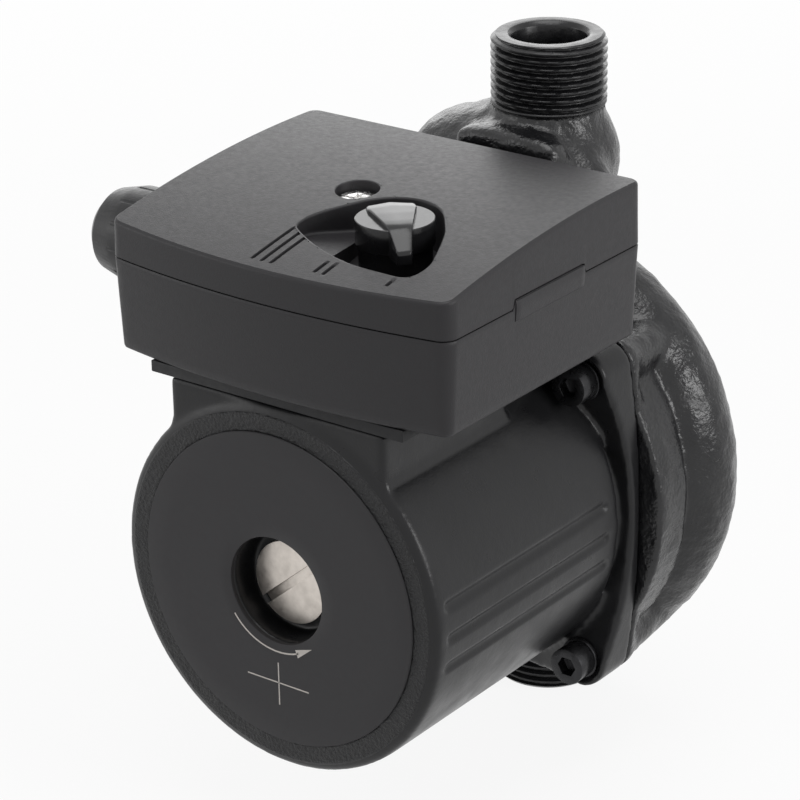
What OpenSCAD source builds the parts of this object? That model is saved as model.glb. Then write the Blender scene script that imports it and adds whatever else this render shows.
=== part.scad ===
// Inline shower booster pump with a wet-rotor motor.
// Origin: centre of the lower port's end face. +Z runs up the port axis, the motor
// axis is parallel to Y and its nameplate faces -Y. "Reach" is a distance in front
// of the port axis, towards the nameplate.

/* [Ports] */
// Distance between the two port end faces
port_to_port = 160; // [158:1:175]
// Outside radius of the port threads
thread_r = 13.22; // [12.8:0.01:13.6]
// Pitch of the port threads
thread_pitch = 1.814; // [1.4:0.001:2.2]
// Depth of the thread grooves
thread_depth = 1.16; // [0.8:0.01:1.3]
// Threaded length of each port
thread_len = 16; // [13:0.5:16.5]
// Radius of the port bores
port_bore_r = 8.5; // [7.8:0.1:9.2]
// Width of the chamfer at the mouth of the upper bore
mouth_chamfer = 1; // [0.4:0.1:1.6]
// Radius of the cast neck behind each thread
neck_r = 12.4; // [11.9:0.1:12.8]

/* [Pump housing] */
// Radius of the volute's centre line
volute_r = 42.3; // [41.5:0.1:44]
// Outside radius of the volute's round rim
rim_r = 12; // [11.5:0.1:13]
// Wall of the volute
volute_wall = 4.5; // [3.8:0.1:5]
// Reach of the volute's centre plane
volute_reach = 4; // [3.5:0.1:4.5]
// How far the volute's centre lies left of the motor axis
volute_left = 2; // [0:0.1:3]
// How far the volute's centre lies above the motor axis
volute_up = 1; // [0:0.1:2]
// Radius of the housing's round front flange
pump_flange_r = 48.7; // [47.5:0.1:50]
// Thickness of the housing's front flange
pump_flange_t = 11.5; // [10.5:0.1:12]
// Radius of the drum behind the front flange
drum_r = 46; // [45:0.1:47]
// Radius of the impeller chamber
chamber_r = 34; // [33:0.1:34.3]
// Reach of the impeller chamber's back wall
chamber_back = 2.5; // [2:0.1:2.8]
// Room kept free above the lower port's face for a union nut
nut_room = 17; // [16.6:0.1:18]
// Radius of the suction duct behind the volute
suction_r = 7.5; // [7:0.1:7.8]
// How far the suction duct lies behind the port axis
suction_back = 16; // [15.5:0.1:18]
// Wall of the suction duct
duct_wall = 4.2; // [3.5:0.1:5]
// Radius of the round bulb below the upper port
bulb_r = 16.5; // [16:0.1:18]
// Distance from the upper port's face down to the bulb's centre
bulb_drop = 29; // [27:0.5:31]
// Outside radius of the delivery duct on the left shoulder
arch_r = 17; // [15:0.1:17.5]
// How far the left shoulder lies from the port axis
arch_left = 20; // [18:0.5:22]
// How far the left shoulder lies below the bulb's centre
arch_drop = 9; // [7:0.5:11]
// Half width of the shoulder plate in front of the upper neck
plate_half = 23; // [21:0.5:25]
// Thickness of the shoulder plate
plate_t = 7; // [6:0.5:8]
// Radius of the rounded rib behind the shoulder plate
rib_r = 5; // [4:0.1:6]

/* [Motor shell] */
// Height of the motor axis above the lower port's face
axis_z = 62.2; // [61.5:0.1:64]
// Reach of the joint between housing and motor
joint_reach = 27; // [26:0.1:28]
// Reach of the motor's front face
motor_reach = 102.3; // [98:0.1:106]
// Outside radius of the motor shell
shell_r = 42.2; // [41.5:0.1:42.2]
// Wall of the motor shell
shell_wall = 3.2; // [2.8:0.1:3.6]
// Thickness of the motor's front wall
front_wall = 4; // [3.5:0.1:5]
// Radius of the motor's rounded front edge
shell_edge_r = 2.2; // [2:0.1:4]
// Half width of the motor flange at the middle of a side
flange_half = 43.4; // [43:0.1:44.5]
// Radius of the motor flange's bowed sides
flange_bow_r = 225; // [180:5:300]
// Thickness of the motor flange at its corners
flange_t = 11; // [10:0.1:12.5]
// Thickness of the motor flange at the middle of a side
flange_mid_t = 3.5; // [3:0.1:4.5]
// Half the pitch of the housing screws
screw_half = 34; // [33.6:0.1:34.4]
// Half width of the neck that carries the terminal box
neck_half = 28.45; // [27:0.1:30]
// Height of the neck's top above the motor axis
neck_up = 42.3; // [42.3:0.1:43]
// Length of the neck along the motor
neck_len = 45; // [42:0.5:46]
// Fillet between the neck and the round shell
neck_fillet_r = 6; // [4:0.5:8]
// Width of the grooves along the shell's sides
groove_w = 2.3; // [1.5:0.1:2.6]
// Depth of the grooves along the shell's sides
groove_depth = 1; // [0.6:0.1:1.4]
// Radius of the nameplate
nameplate_r = 36; // [34:0.1:37]
// Thickness of the nameplate
nameplate_t = 1; // [0.8:0.1:1.4]
// Radius of the round opening around the vent plug
vent_opening_r = 12.3; // [11.5:0.1:13]
// Radius of the vent plug's head
vent_head_r = 9.5; // [9:0.1:10.2]

/* [Rotor and stator] */
// Radius of the pump shaft
shaft_r = 4; // [3.5:0.1:4.4]
// Outside radius of the thin rotor can
can_r = 17.6; // [17.2:0.1:18]
// Wall of the rotor can
can_wall = 0.5; // [0.4:0.1:0.8]
// Radius of the rotor core
rotor_r = 16.4; // [15.8:0.1:16.4]
// Length of the rotor core
rotor_len = 39.5; // [36:0.5:39.5]
// Radius of the impeller
impeller_r = 32; // [30:0.1:32.4]
// Number of impeller vanes
vane_count = 6; // [5:1:7]
// Outside radius of the two shaft bearings
bearing_r = 8.5; // [8:0.1:9]
// Length of the stator core
stator_len = 38; // [34:0.5:40]
// Number of stator slots
slot_count = 12; // [8:1:16]

/* [Terminal box] */
// Width of the terminal box
box_w = 89.2; // [86:0.1:92]
// Distance from the port axis to the box's back wall
box_back_reach = 30; // [29.5:0.1:31]
// Reach of the box's front corners
box_corner_reach = 98.5; // [97:0.1:100]
// How far the box's front wall bows out
front_bow = 6; // [4:0.1:7]
// Height of the box's lower half
box_h = 21.1; // [20.5:0.1:23]
// Wall of the terminal box
box_wall = 2.5; // [2:0.1:3]
// Radius of the box's upright edges
box_edge_r = 3; // [2:0.1:4]
// Height of the lid at its front corners
lid_front_h = 8.5; // [8:0.1:10]
// Height of the lid at its back edge
lid_back_h = 14; // [13:0.1:15]
// Radius of the lid's crowned top
lid_crown_r = 320; // [250:5:500]
// Thickness of the gasket below the box
foot_t = 2.6; // [2.5:0.1:3.5]
// How far that gasket stands out beyond the neck at each side
foot_lip = 5; // [4:0.1:6.5]
// Distance of the lid screw left of the port axis
lid_screw_left = 4; // [3:0.1:5]
// Reach of the lid screw
lid_screw_reach = 66.1; // [65:0.1:67]
// Distance of the knob right of the port axis
knob_x = 14.5; // [14:0.1:15.5]
// Reach of the knob
knob_reach = 77.5; // [77:0.1:78.5]
// Radius of the knob
knob_r = 8.4; // [8:0.05:9]
// Distance between two neighbouring positions of the knob, in degrees
knob_step = 40; // [35:1:45]
// Direction of the pointer at the lowest speed, in degrees from +X
knob_rest = -47; // [-56:1:-42]

/* [Cable gland] */
// Height of the cable gland above the box's floor
gland_up = 12.8; // [12:0.1:12.8]
// Reach of the cable gland
gland_reach = 69.7; // [68:0.1:71]
// Radius of the gland's cable bore
gland_bore_r = 4.5; // [3.5:0.1:5]
// Radius of the gland's threaded stem
gland_stem_r = 7.2; // [7:0.1:7.2]
// How far the gland stands out of the box
gland_out = 26.5; // [22:0.5:28]

/* [Hidden] */
$fn = 96;
over = 0.5;              // overrun of every cut
seat_gap = 0.3;          // gap between parts that must not touch
slide_gap = 0.15;        // gap of parts slipped into a seat
run_gap = 0.04;          // radial clearance of the shaft in its bearings
neck_gap = 0.2;          // radial clearance of the impeller neck in its wear ring

// Ports
crest_share = 0.35;      // flat crest of a thread, as a share of its pitch
bulb_z = port_to_port - bulb_drop;
rim_chamfer = thread_depth;

// Pump housing
back_seam = 0.4;         // how much a joint ball is larger than its duct
turn_step = 0.2;         // how much the lower turn's ball is smaller than the bore
duct_lift = 3;           // from the lower turn up to the start of the suction duct
lobe_back_t = 3;         // thickness of the flange's corner lobes
nut_overlap = 2;
duct_turn_z = nut_room - nut_overlap;
duct_top_z = 34;
left_root = 132;         // where the left shoulder meets the volute, in degrees
channel_r = rim_r - volute_wall;
channel_start = -30;
channel_sweep = 240;
suction_eye_r = 9.6;
gasket_w = 3;
gasket_t = 2;
plate_rim_r = 39.5;
lug_tip_r = 4.6;
lug_len = 22;
shoulder_corner_r = 9;
shoulder_rise = 3;
rib_span_share = 0.75;

// Screws that hold the motor to the housing
screw_r = 2.5;
screw_head_r = 4.25;
screw_head_h = 5;
screw_socket_r = 2.4;
screw_socket_depth = 2.6;
screw_bite = 12;         // how deep the screws go into the housing
spot_r = 5.6;
spot_depth = 1.5;
washer_r = 4.7;
washer_t = 1;
thread_hole_gap = 0.05;
screw_hole_gap = 0.4;

// Motor shell
lobe_r = sqrt(pow(flange_bow_r, 2) - pow(screw_half, 2))
    - (flange_bow_r - flange_half) - screw_half;
saddle_rise = flange_t - flange_mid_t;
saddle_r = (pow(screw_half, 2) + pow(saddle_rise, 2)) / (2 * saddle_rise);
waist_r = shell_r - 2.5 * groove_depth;
waist_t = 6;
fillet_sink = 0.1;       // how far the neck's fillets run into the round shell
cavity_r = shell_r - shell_wall;
boss_r = 15;
nose_r = 10.5;
boss_depth = 13;         // from the front face back to the can's nose
nose_len = 9;
can_front = motor_reach - boss_depth;
can_step = can_front - nose_len;
recess_depth = 7.5;      // of the vent plug's round recess
plug_head_t = 2.8;
plug_shank_r = 7.4;
plug_slot_w = 2;
plug_slot_depth = 1.5;
o_ring_t = 1.5;
nameplate_sunk = 0.6;
neck_hole_half = 11;
neck_hole_len = 22;
groove_angles = [8.6, -1.2, -10.7];
groove_margin = 3.5;     // from the grooves' front end to the front face
groove_back_reach = joint_reach + flange_t;

// Rotor and stator
plate_t_disc = 2;
can_flange_t = 0.6;
hub_r = 11.5;
hub_back_len = 5;        // of the bearing plate's hub behind and before the joint
hub_front_len = 7;
hub_back = joint_reach - hub_back_len;
hub_front = joint_reach + hub_front_len;
thrust_r = 8;
thrust_t = 3.5;
thrust_front = hub_front + seat_gap + thrust_t;
rotor_back = thrust_front;
shaft_back_gap = 5;      // from the chamber's back wall to the shaft's end
shaft_front_gap = 2;
impeller_gap = 1.2;
impeller_t = 10.6;
shaft_back = chamber_back + shaft_back_gap;
shaft_front = can_front - shaft_front_gap;
impeller_back = chamber_back + impeller_gap;
shroud_t = 1.6;
impeller_front = impeller_back + impeller_t;
impeller_hub_r = 8;
impeller_neck_r = 12.4;
vane_t = 1.6;
vane_curve_r = 24;
wear_ring_r = 15;
wear_ring_t = 4.5;
stator_gap = 13;         // from the joint to the stator core
stator_back = joint_reach + stator_gap;
stator_bore_gap = 0.4;
stator_r = cavity_r - slide_gap;
slot_inner_share = 0.56; // of the stator's radius
slot_outer_share = 0.84;
slot_fill = 0.3;         // gap between a winding and its slot
winding_t = 8.5;
winding_gap = 0.5;
winding_front = stator_back + stator_len + winding_gap + winding_t;

// Terminal box
neck_top_z = axis_z + neck_up;
box_z = neck_top_z + foot_t;
split_z = box_z + box_h;
box_half = box_w / 2;
box_mid_reach = (box_back_reach + box_corner_reach) / 2;
box_len = box_corner_reach - box_back_reach;
front_bow_r = (pow(box_half, 2) + pow(front_bow, 2)) / (2 * front_bow);
floor_t = 2.5;
foot_len = neck_len - 1.5;
lid_skin = 2.2;
lid_slope = atan((lid_back_h - lid_front_h) / box_len);
seal_w = 1.2;
seal_t = 0.8;
lip_h = 2;
recess_skin = 1.6;
dish_depth = 5.5;
dish_slope = 5;          // of the dish's left floor, in degrees
dish_tip_depth = 3.4;    // depth of that floor at the left tip
dish_places = [[-2.6, -0.1], [-17.5, -6], [-5.5, -12.5], [13.6, -14.1], [11.9, -6]]; // from the knob
dish_radii = [13.1, 1.5, 3, 3, 2.6];
dish_wall = 1.2;
pocket_left = 8.3;       // from the knob to the left edge of the deep pocket
pocket_rise = 1.5;       // of the pocket's floor above the lid's lower edge
mark_w = 0.7;
mark_depth = 0.5;
mark_pitch = 2.2;
mark_end_reach = box_corner_reach + 1.8;
mark_reaches = [86.5, 95.4, 95.8];
mark_xs = [-2.3, 12.1, 28.2];
lid_screw_r = 2;
lid_screw_head_r = 3.9;
lid_screw_head_h = 2.4;
lid_well_r = 4.75;
lid_well_depth = 4;
lid_post_r = 4.2;
lid_screw_len = 16;
latch_len = 25.5;
latch_h = 2.4;
latch_t = 0.6;
latch_tab_h = 2;
latch_reach = 64;

// Knob and switch
knob_above = 2;          // how far the knob's face stands above the lid
knob_skirt = 5.6;
knob_gap = 0.5;          // free ring round the knob in the lid
stem_step = 0.6;         // how much the stem is thinner than the knob
knob_stem_r = knob_r - stem_step;
knob_stem_h = 9;
pointer_t = 1.1;
pointer_out = 4.4;       // how far the pointer's nose hangs out beyond the knob
pointer_drop = 3.4;      // from the knob's face down to the nose's lower side
pointer_half = 2;
pointer_inset = 0.2;     // of the pointer from the knob's rim, and of its nose from its sides
nose_half = pointer_half - pointer_inset;
pointer_tail = 3.8;
pointer_tail_half = 5.1;
spindle_r = 2.5;
spindle_len = 7;
switch_half = 10;

// Things inside the box
block_size = [30, 11, 13];
block_x = -23;
block_reach = 88;
pole_count = 3;
pole_pitch = 9;
pole_screw_r = 1.8;
capacitor_r = 10.2;
capacitor_len = 52;
capacitor_gap = 1.5;
saddle_w = 9;
box_screw_places = [[-22, 62], [22, 62]]; // x and reach
earth_place = [23.5, 95];
box_screw_len = 12;
pan_r = 3.6;
pan_h = 2.2;
lead_r = 1.2;
lead_pitch = 3.5;
lead_turn = 5;
lead_rise = 7;

// Gland
gland_z = box_z + gland_up;
gland_flange_r = 10.4;
gland_flange_t = 5;
gland_nut_r = 11.2;
gland_tip_r = 9.6;
gland_rib_w = 1.4;
gland_ribs = 12;
locknut_r = 9.2;
locknut_t = 3;
gland_seal_t = 4;

// Knob height from the lid's own surface
knob_z = lid_top_z(knob_reach) + knob_above;
lid_well_z = lid_top_z(lid_screw_reach) - lid_well_depth;
dish_floor_z = lid_top_z(knob_reach) - dish_depth;

// Height of the lid's crowned top at a given reach: a sloping arc above its chord.
function lid_top_z(reach) = split_z + lid_back_h
    - (reach - box_back_reach) * (lid_back_h - lid_front_h) / box_len
    + sqrt(pow(lid_crown_r, 2) - pow(reach - box_mid_reach, 2))
    - sqrt(pow(lid_crown_r, 2) - pow(box_len / 2, 2));

// A point on the volute's centre line, by its angle from +X.
function volute_point(a) = [volute_r * cos(a) - volute_left, -volute_reach,
    axis_z + volute_up + volute_r * sin(a)];

// Puts children on the motor axis at a reach; their +Z then points to the front.
module on_motor(reach) {
    translate([0, -reach, axis_z]) rotate([90, 0, 0]) children();
}

module ring(r_out, r_in, h) {
    difference() {
        cylinder(r = r_out, h = h);
        translate([0, 0, -over]) cylinder(r = r_in, h = h + 2 * over);
    }
}

// Repeats children at the four housing screws, in the on_motor frame.
module at_screws() {
    for (sx = [-1, 1], sy = [-1, 1])
        translate([sx * screw_half, sy * screw_half, 0]) children();
}

// Repeats children at the box screws and the earth screw, at a height.
module at_box_screws(z) {
    for (p = concat(box_screw_places, [earth_place])) translate([p[0], -p[1], z]) children();
}

// A straight round bar between two points, tapered when a second radius is given.
module bar(from, to, r, r_end = 0) {
    d = to - from;
    len = norm(d);
    translate(from)
        rotate([0, acos(d[2] / len), atan2(d[1], d[0])])
            cylinder(r1 = r, r2 = r_end > 0 ? r_end : r, h = len);
}

// Outline of the threaded port: flat crests between V grooves, then the plain neck.
module thread_profile(neck_len) {
    turns = floor((thread_len - rim_chamfer) / thread_pitch);
    crest = thread_pitch * crest_share;
    flank = (thread_pitch - crest) / 2;
    polygon(concat(
        [[0, 0], [thread_r - rim_chamfer, 0]],
        [for (i = [0 : turns - 1], k = [0 : 2])
            [k == 2 ? thread_r - thread_depth : thread_r,
             rim_chamfer + i * thread_pitch + (k == 0 ? 0 : k == 1 ? crest : crest + flank)]],
        [[thread_r, rim_chamfer + turns * thread_pitch],
         [thread_r, thread_len], [neck_r, thread_len + thread_r - neck_r],
         [neck_r, thread_len + neck_len], [0, thread_len + neck_len]]));
}

module motor_flange_outline() {
    side = flange_bow_r - flange_half;
    reach = 2 * flange_half;
    intersection() {
        for (s = [0, 1]) rotate(90 * s) intersection() {
            translate([side, 0]) circle(r = flange_bow_r, $fn = 240);
            translate([-side, 0]) circle(r = flange_bow_r, $fn = 240);
            rotate(90) translate([side, 0]) circle(r = flange_bow_r, $fn = 240);
            rotate(90) translate([-side, 0]) circle(r = flange_bow_r, $fn = 240);
        }
        union() {
            square([2 * screw_half, reach], center = true);
            square([reach, 2 * screw_half], center = true);
            for (sx = [-1, 1], sy = [-1, 1])
                translate([sx * screw_half, sy * screw_half]) circle(r = lobe_r);
        }
    }
}

// Cast shoulder in front of the upper neck, in the on_motor frame.
module shoulder_outline() {
    top = bulb_z + bulb_r - 2 * shoulder_rise - axis_z;
    crown_r = (pow(plate_half, 2) + pow(shoulder_rise, 2)) / (2 * shoulder_rise) * 0.7;
    intersection() {
        translate([0, top - crown_r]) circle(r = crown_r);
        union() {
            translate([-plate_half + shoulder_corner_r, 0])
                square([2 * (plate_half - shoulder_corner_r), 2 * top]);
            translate([-plate_half, 0]) square([2 * plate_half, top - 2 * shoulder_corner_r]);
            for (sx = [-1, 1])
                translate([sx * (plate_half - shoulder_corner_r), top - 2 * shoulder_corner_r])
                    circle(r = shoulder_corner_r);
        }
    }
}

module housing_ports() {
    rotate_extrude() thread_profile(nut_room - thread_len + rim_chamfer);
    translate([0, 0, port_to_port]) mirror([0, 0, 1])
        rotate_extrude() thread_profile(bulb_drop - thread_len);
}

// Volute with its round rim, drum, front flange and the four tapped lugs.
module housing_drum() {
    translate([-volute_left, 0, volute_up]) on_motor(volute_reach) rotate_extrude() union() {
        translate([volute_r, 0]) circle(r = rim_r);
        translate([0, -rim_r + volute_wall / 2])
            square([volute_r, 2 * rim_r - volute_wall]);
    }
    on_motor(volute_reach) cylinder(r = drum_r, h = joint_reach - volute_reach - over);
    on_motor(joint_reach - pump_flange_t) cylinder(r = pump_flange_r, h = pump_flange_t);
    on_motor(joint_reach - lobe_back_t) linear_extrude(lobe_back_t) motor_flange_outline();
    on_motor(joint_reach - lug_len) at_screws()
        cylinder(r1 = lug_tip_r, r2 = lobe_r - over, h = lug_len - over);
}

// Suction duct behind the volute, delivery duct and bulb below the upper port.
module housing_ducts() {
    suction_out_r = suction_r + duct_wall;
    eye_out_r = suction_eye_r + duct_wall;
    knee = [0, suction_back, duct_top_z];
    top = [0, suction_back, axis_z];
    bulb = [0, 0, bulb_z];
    shoulder = [-arch_left, 0, bulb_z - arch_drop];
    root_r = rim_r - back_seam;
    bar([0, 0, duct_turn_z], knee, suction_out_r);
    translate(knee) sphere(r = suction_out_r + back_seam);
    bar(knee, top, suction_out_r);
    translate(top) sphere(r = eye_out_r + back_seam);
    on_motor(-suction_back) cylinder(r = eye_out_r, h = suction_back);
    translate(bulb) sphere(r = bulb_r);
    bar(bulb, shoulder, bulb_r - back_seam, arch_r);
    translate(shoulder) sphere(r = arch_r + back_seam);
    bar(shoulder, volute_point(left_root), arch_r - back_seam, root_r);
    bar(bulb, volute_point(90), bulb_r - back_seam, root_r);
}

// Shoulder plate in front of the upper neck and the rounded rib behind it.
module housing_shoulder() {
    rib_top = bulb_z + bulb_r / 2;
    on_motor(joint_reach - pump_flange_t - plate_t / 2) linear_extrude(plate_t)
        shoulder_outline();
    translate([0, -volute_reach - rib_r / 2, rib_top - plate_half])
        rotate([90, 0, 0]) rotate([0, 0, -20]) rotate_extrude(angle = 130)
            translate([plate_half - rib_r / 2, 0]) circle(r = rib_r);
}

module housing_outside() {
    housing_ports();
    difference() {
        union() {
            housing_drum();
            housing_ducts();
            housing_shoulder();
        }
        // room for the lower union nut
        translate([-2 * volute_r, -2 * volute_r, -over])
            cube([4 * volute_r, 4 * volute_r, nut_room + over]);
    }
}

module pump_housing() {
    knee = [0, suction_back, duct_top_z];
    eye = [0, suction_back, axis_z];
    color([0.09, 0.09, 0.1]) difference() {
        housing_outside();
        // delivery: upper bore down into the volute channel
        translate([0, 0, axis_z + volute_up + volute_r])
            cylinder(r = port_bore_r, h = port_to_port - axis_z);
        translate([0, 0, port_to_port - mouth_chamfer])
            cylinder(r1 = port_bore_r, r2 = port_bore_r + mouth_chamfer + over,
                h = mouth_chamfer + over);
        translate([-volute_left, 0, volute_up]) on_motor(volute_reach)
            rotate([0, 0, channel_start]) rotate_extrude(angle = channel_sweep, $fn = 144)
                union() {
                    translate([volute_r, 0]) circle(r = channel_r);
                    translate([chamber_r - 2 * volute_wall, -volute_reach + chamber_back + over])
                        square([volute_r - chamber_r + 2 * volute_wall,
                            volute_reach - chamber_back + channel_r - 2 * over]);
                }
        // impeller chamber, open at the front
        on_motor(chamber_back) cylinder(r = chamber_r, h = joint_reach - chamber_back + over);
        on_motor(joint_reach - gasket_t)
            ring(plate_rim_r, plate_rim_r - gasket_w, gasket_t + over);
        // seat of the wear ring and the suction eye
        on_motor(chamber_back - wear_ring_t) cylinder(r = wear_ring_r, h = wear_ring_t + over);
        on_motor(-suction_back) cylinder(r = suction_eye_r, h = suction_back + chamber_back);
        // suction: lower bore, knee and duct
        translate([0, 0, -over]) cylinder(r = port_bore_r, h = duct_turn_z + over);
        translate([0, 0, duct_turn_z]) sphere(r = port_bore_r - turn_step);
        bar([0, 0, duct_turn_z + duct_lift], knee, suction_r);
        translate(knee) sphere(r = suction_r + back_seam);
        bar(knee, eye, suction_r);
        translate(eye) sphere(r = suction_eye_r + back_seam / 2);
        // threaded holes for the housing screws
        on_motor(joint_reach - screw_bite) at_screws()
            cylinder(r = screw_r + thread_hole_gap, h = screw_bite + over);
    }
}

module wear_ring() {
    color([0.75, 0.75, 0.78]) on_motor(chamber_back - wear_ring_t)
        ring(wear_ring_r, impeller_neck_r + neck_gap, wear_ring_t);
}

module housing_gasket() {
    color([0.15, 0.15, 0.15]) on_motor(joint_reach - gasket_t)
        ring(plate_rim_r, plate_rim_r - gasket_w, gasket_t);
}

module bearing_plate() {
    color([0.7, 0.7, 0.72]) difference() {
        union() {
            on_motor(joint_reach) cylinder(r = plate_rim_r, h = plate_t_disc);
            on_motor(hub_back) cylinder(r = hub_r, h = hub_front - hub_back);
        }
        on_motor(hub_back - over) cylinder(r = bearing_r, h = hub_front - hub_back + 2 * over);
    }
}

module rear_bearing() {
    color([0.22, 0.22, 0.24]) on_motor(hub_back)
        ring(bearing_r, shaft_r + run_gap, hub_front - hub_back);
}

module impeller() {
    color([0.85, 0.8, 0.68]) difference() {
        union() {
            on_motor(impeller_front - shroud_t) cylinder(r = impeller_r, h = shroud_t);
            on_motor(impeller_back) ring(impeller_r, suction_eye_r, shroud_t);
            on_motor(chamber_back - wear_ring_t + seat_gap)
                ring(impeller_neck_r, suction_eye_r,
                    impeller_back - chamber_back + wear_ring_t - seat_gap + over);
            on_motor(impeller_back + shroud_t)
                cylinder(r = impeller_hub_r, h = hub_back - impeller_back - shroud_t - seat_gap);
            on_motor(impeller_back + over) linear_extrude(impeller_front - impeller_back - 2 * over)
                for (i = [0 : vane_count - 1]) rotate(360 / vane_count * i) vane_outline();
        }
        on_motor(shaft_back) cylinder(r = shaft_r, h = joint_reach);
    }
}

// One backward-curved vane: an arc that leaves the hub and ends at the rim.
module vane_outline() {
    intersection() {
        difference() {
            circle(r = impeller_r - vane_t / 2);
            circle(r = impeller_neck_r);
        }
        translate([impeller_neck_r, vane_curve_r]) difference() {
            circle(r = vane_curve_r);
            circle(r = vane_curve_r - vane_t);
        }
        translate([0, -impeller_r / 4]) square([impeller_r, impeller_r]);
    }
}

module shaft() {
    color([0.93, 0.93, 0.9]) on_motor(shaft_back)
        cylinder(r = shaft_r, h = shaft_front - shaft_back);
}

module thrust_ring() {
    color([0.2, 0.2, 0.22]) on_motor(hub_front + seat_gap)
        ring(thrust_r, shaft_r, thrust_front - hub_front - seat_gap);
}

module rotor_core() {
    color([0.72, 0.73, 0.75]) on_motor(rotor_back) ring(rotor_r, shaft_r, rotor_len);
}

module front_bearing() {
    color([0.22, 0.22, 0.24]) on_motor(can_step + can_wall)
        ring(nose_r - can_wall, shaft_r + run_gap, can_front - can_step - 3 * can_wall);
}

module rotor_can() {
    can_back = joint_reach + plate_t_disc;
    color([0.8, 0.8, 0.82]) difference() {
        union() {
            on_motor(can_back) cylinder(r = plate_rim_r - gasket_w, h = can_flange_t);
            on_motor(can_back) cylinder(r = can_r, h = can_step - can_back);
            on_motor(can_step - can_wall)
                cylinder(r = nose_r, h = can_front - can_step + can_wall);
        }
        on_motor(can_back - over)
            cylinder(r = can_r - can_wall, h = can_step - can_back - can_wall + over);
        on_motor(can_back) cylinder(r = nose_r - can_wall, h = can_front - can_back - can_wall);
        on_motor(can_front - 2 * can_wall) cylinder(r = shaft_r, h = can_wall * 2 + over);
    }
}

module stator_core() {
    color([0.45, 0.46, 0.48]) on_motor(stator_back) linear_extrude(stator_len) difference() {
        circle(r = stator_r);
        circle(r = can_r + stator_bore_gap);
        for (i = [0 : slot_count - 1]) rotate(360 / slot_count * i) slot_outline(0);
    }
}

// One stator slot between two radii; a winding fills it less a gap on every side.
module slot_outline(gap) {
    slot_w = 2 * PI * stator_r * slot_inner_share / slot_count / 2;
    translate([stator_r * slot_inner_share + gap, -slot_w / 2 + gap])
        square([stator_r * (slot_outer_share - slot_inner_share) - 2 * gap,
            slot_w - 2 * gap]);
}

module stator_windings() {
    r_in = stator_r * slot_inner_share + slot_fill;
    r_out = stator_r * slot_outer_share - slot_fill;
    color([0.72, 0.4, 0.2]) union() {
        on_motor(stator_back - winding_gap) linear_extrude(stator_len + 2 * winding_gap)
            for (i = [0 : slot_count - 1]) rotate(360 / slot_count * i)
                slot_outline(slot_fill);
        for (reach = [stator_back - winding_gap - winding_t / 2,
                stator_back + stator_len + winding_gap + winding_t / 2])
            on_motor(reach) rotate_extrude() intersection() {
                translate([r_in, -winding_t / 2]) square([r_out - r_in, winding_t]);
                translate([(r_in + r_out) / 2, 0]) circle(r = winding_t * 0.72);
            }
    }
}

// Section of the shell across the motor axis: the round body and the neck above it.
module shell_section() {
    f = neck_fillet_r;
    cx = neck_half + f;
    far = shell_r + f - fillet_sink;
    cy = sqrt(pow(far, 2) - pow(cx, 2));
    touch = (shell_r - 2 * fillet_sink) / far;
    circle(r = shell_r, $fn = 144);
    translate([-neck_half, 0]) square([2 * neck_half, neck_up]);
    for (s = [0, 1]) mirror([s, 0]) difference() {
        polygon([[0, 0], [cx * touch, cy * touch], [cx, cy], [neck_half, cy], [0, cy]]);
        translate([cx, cy]) circle(r = f);
    }
}

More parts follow.
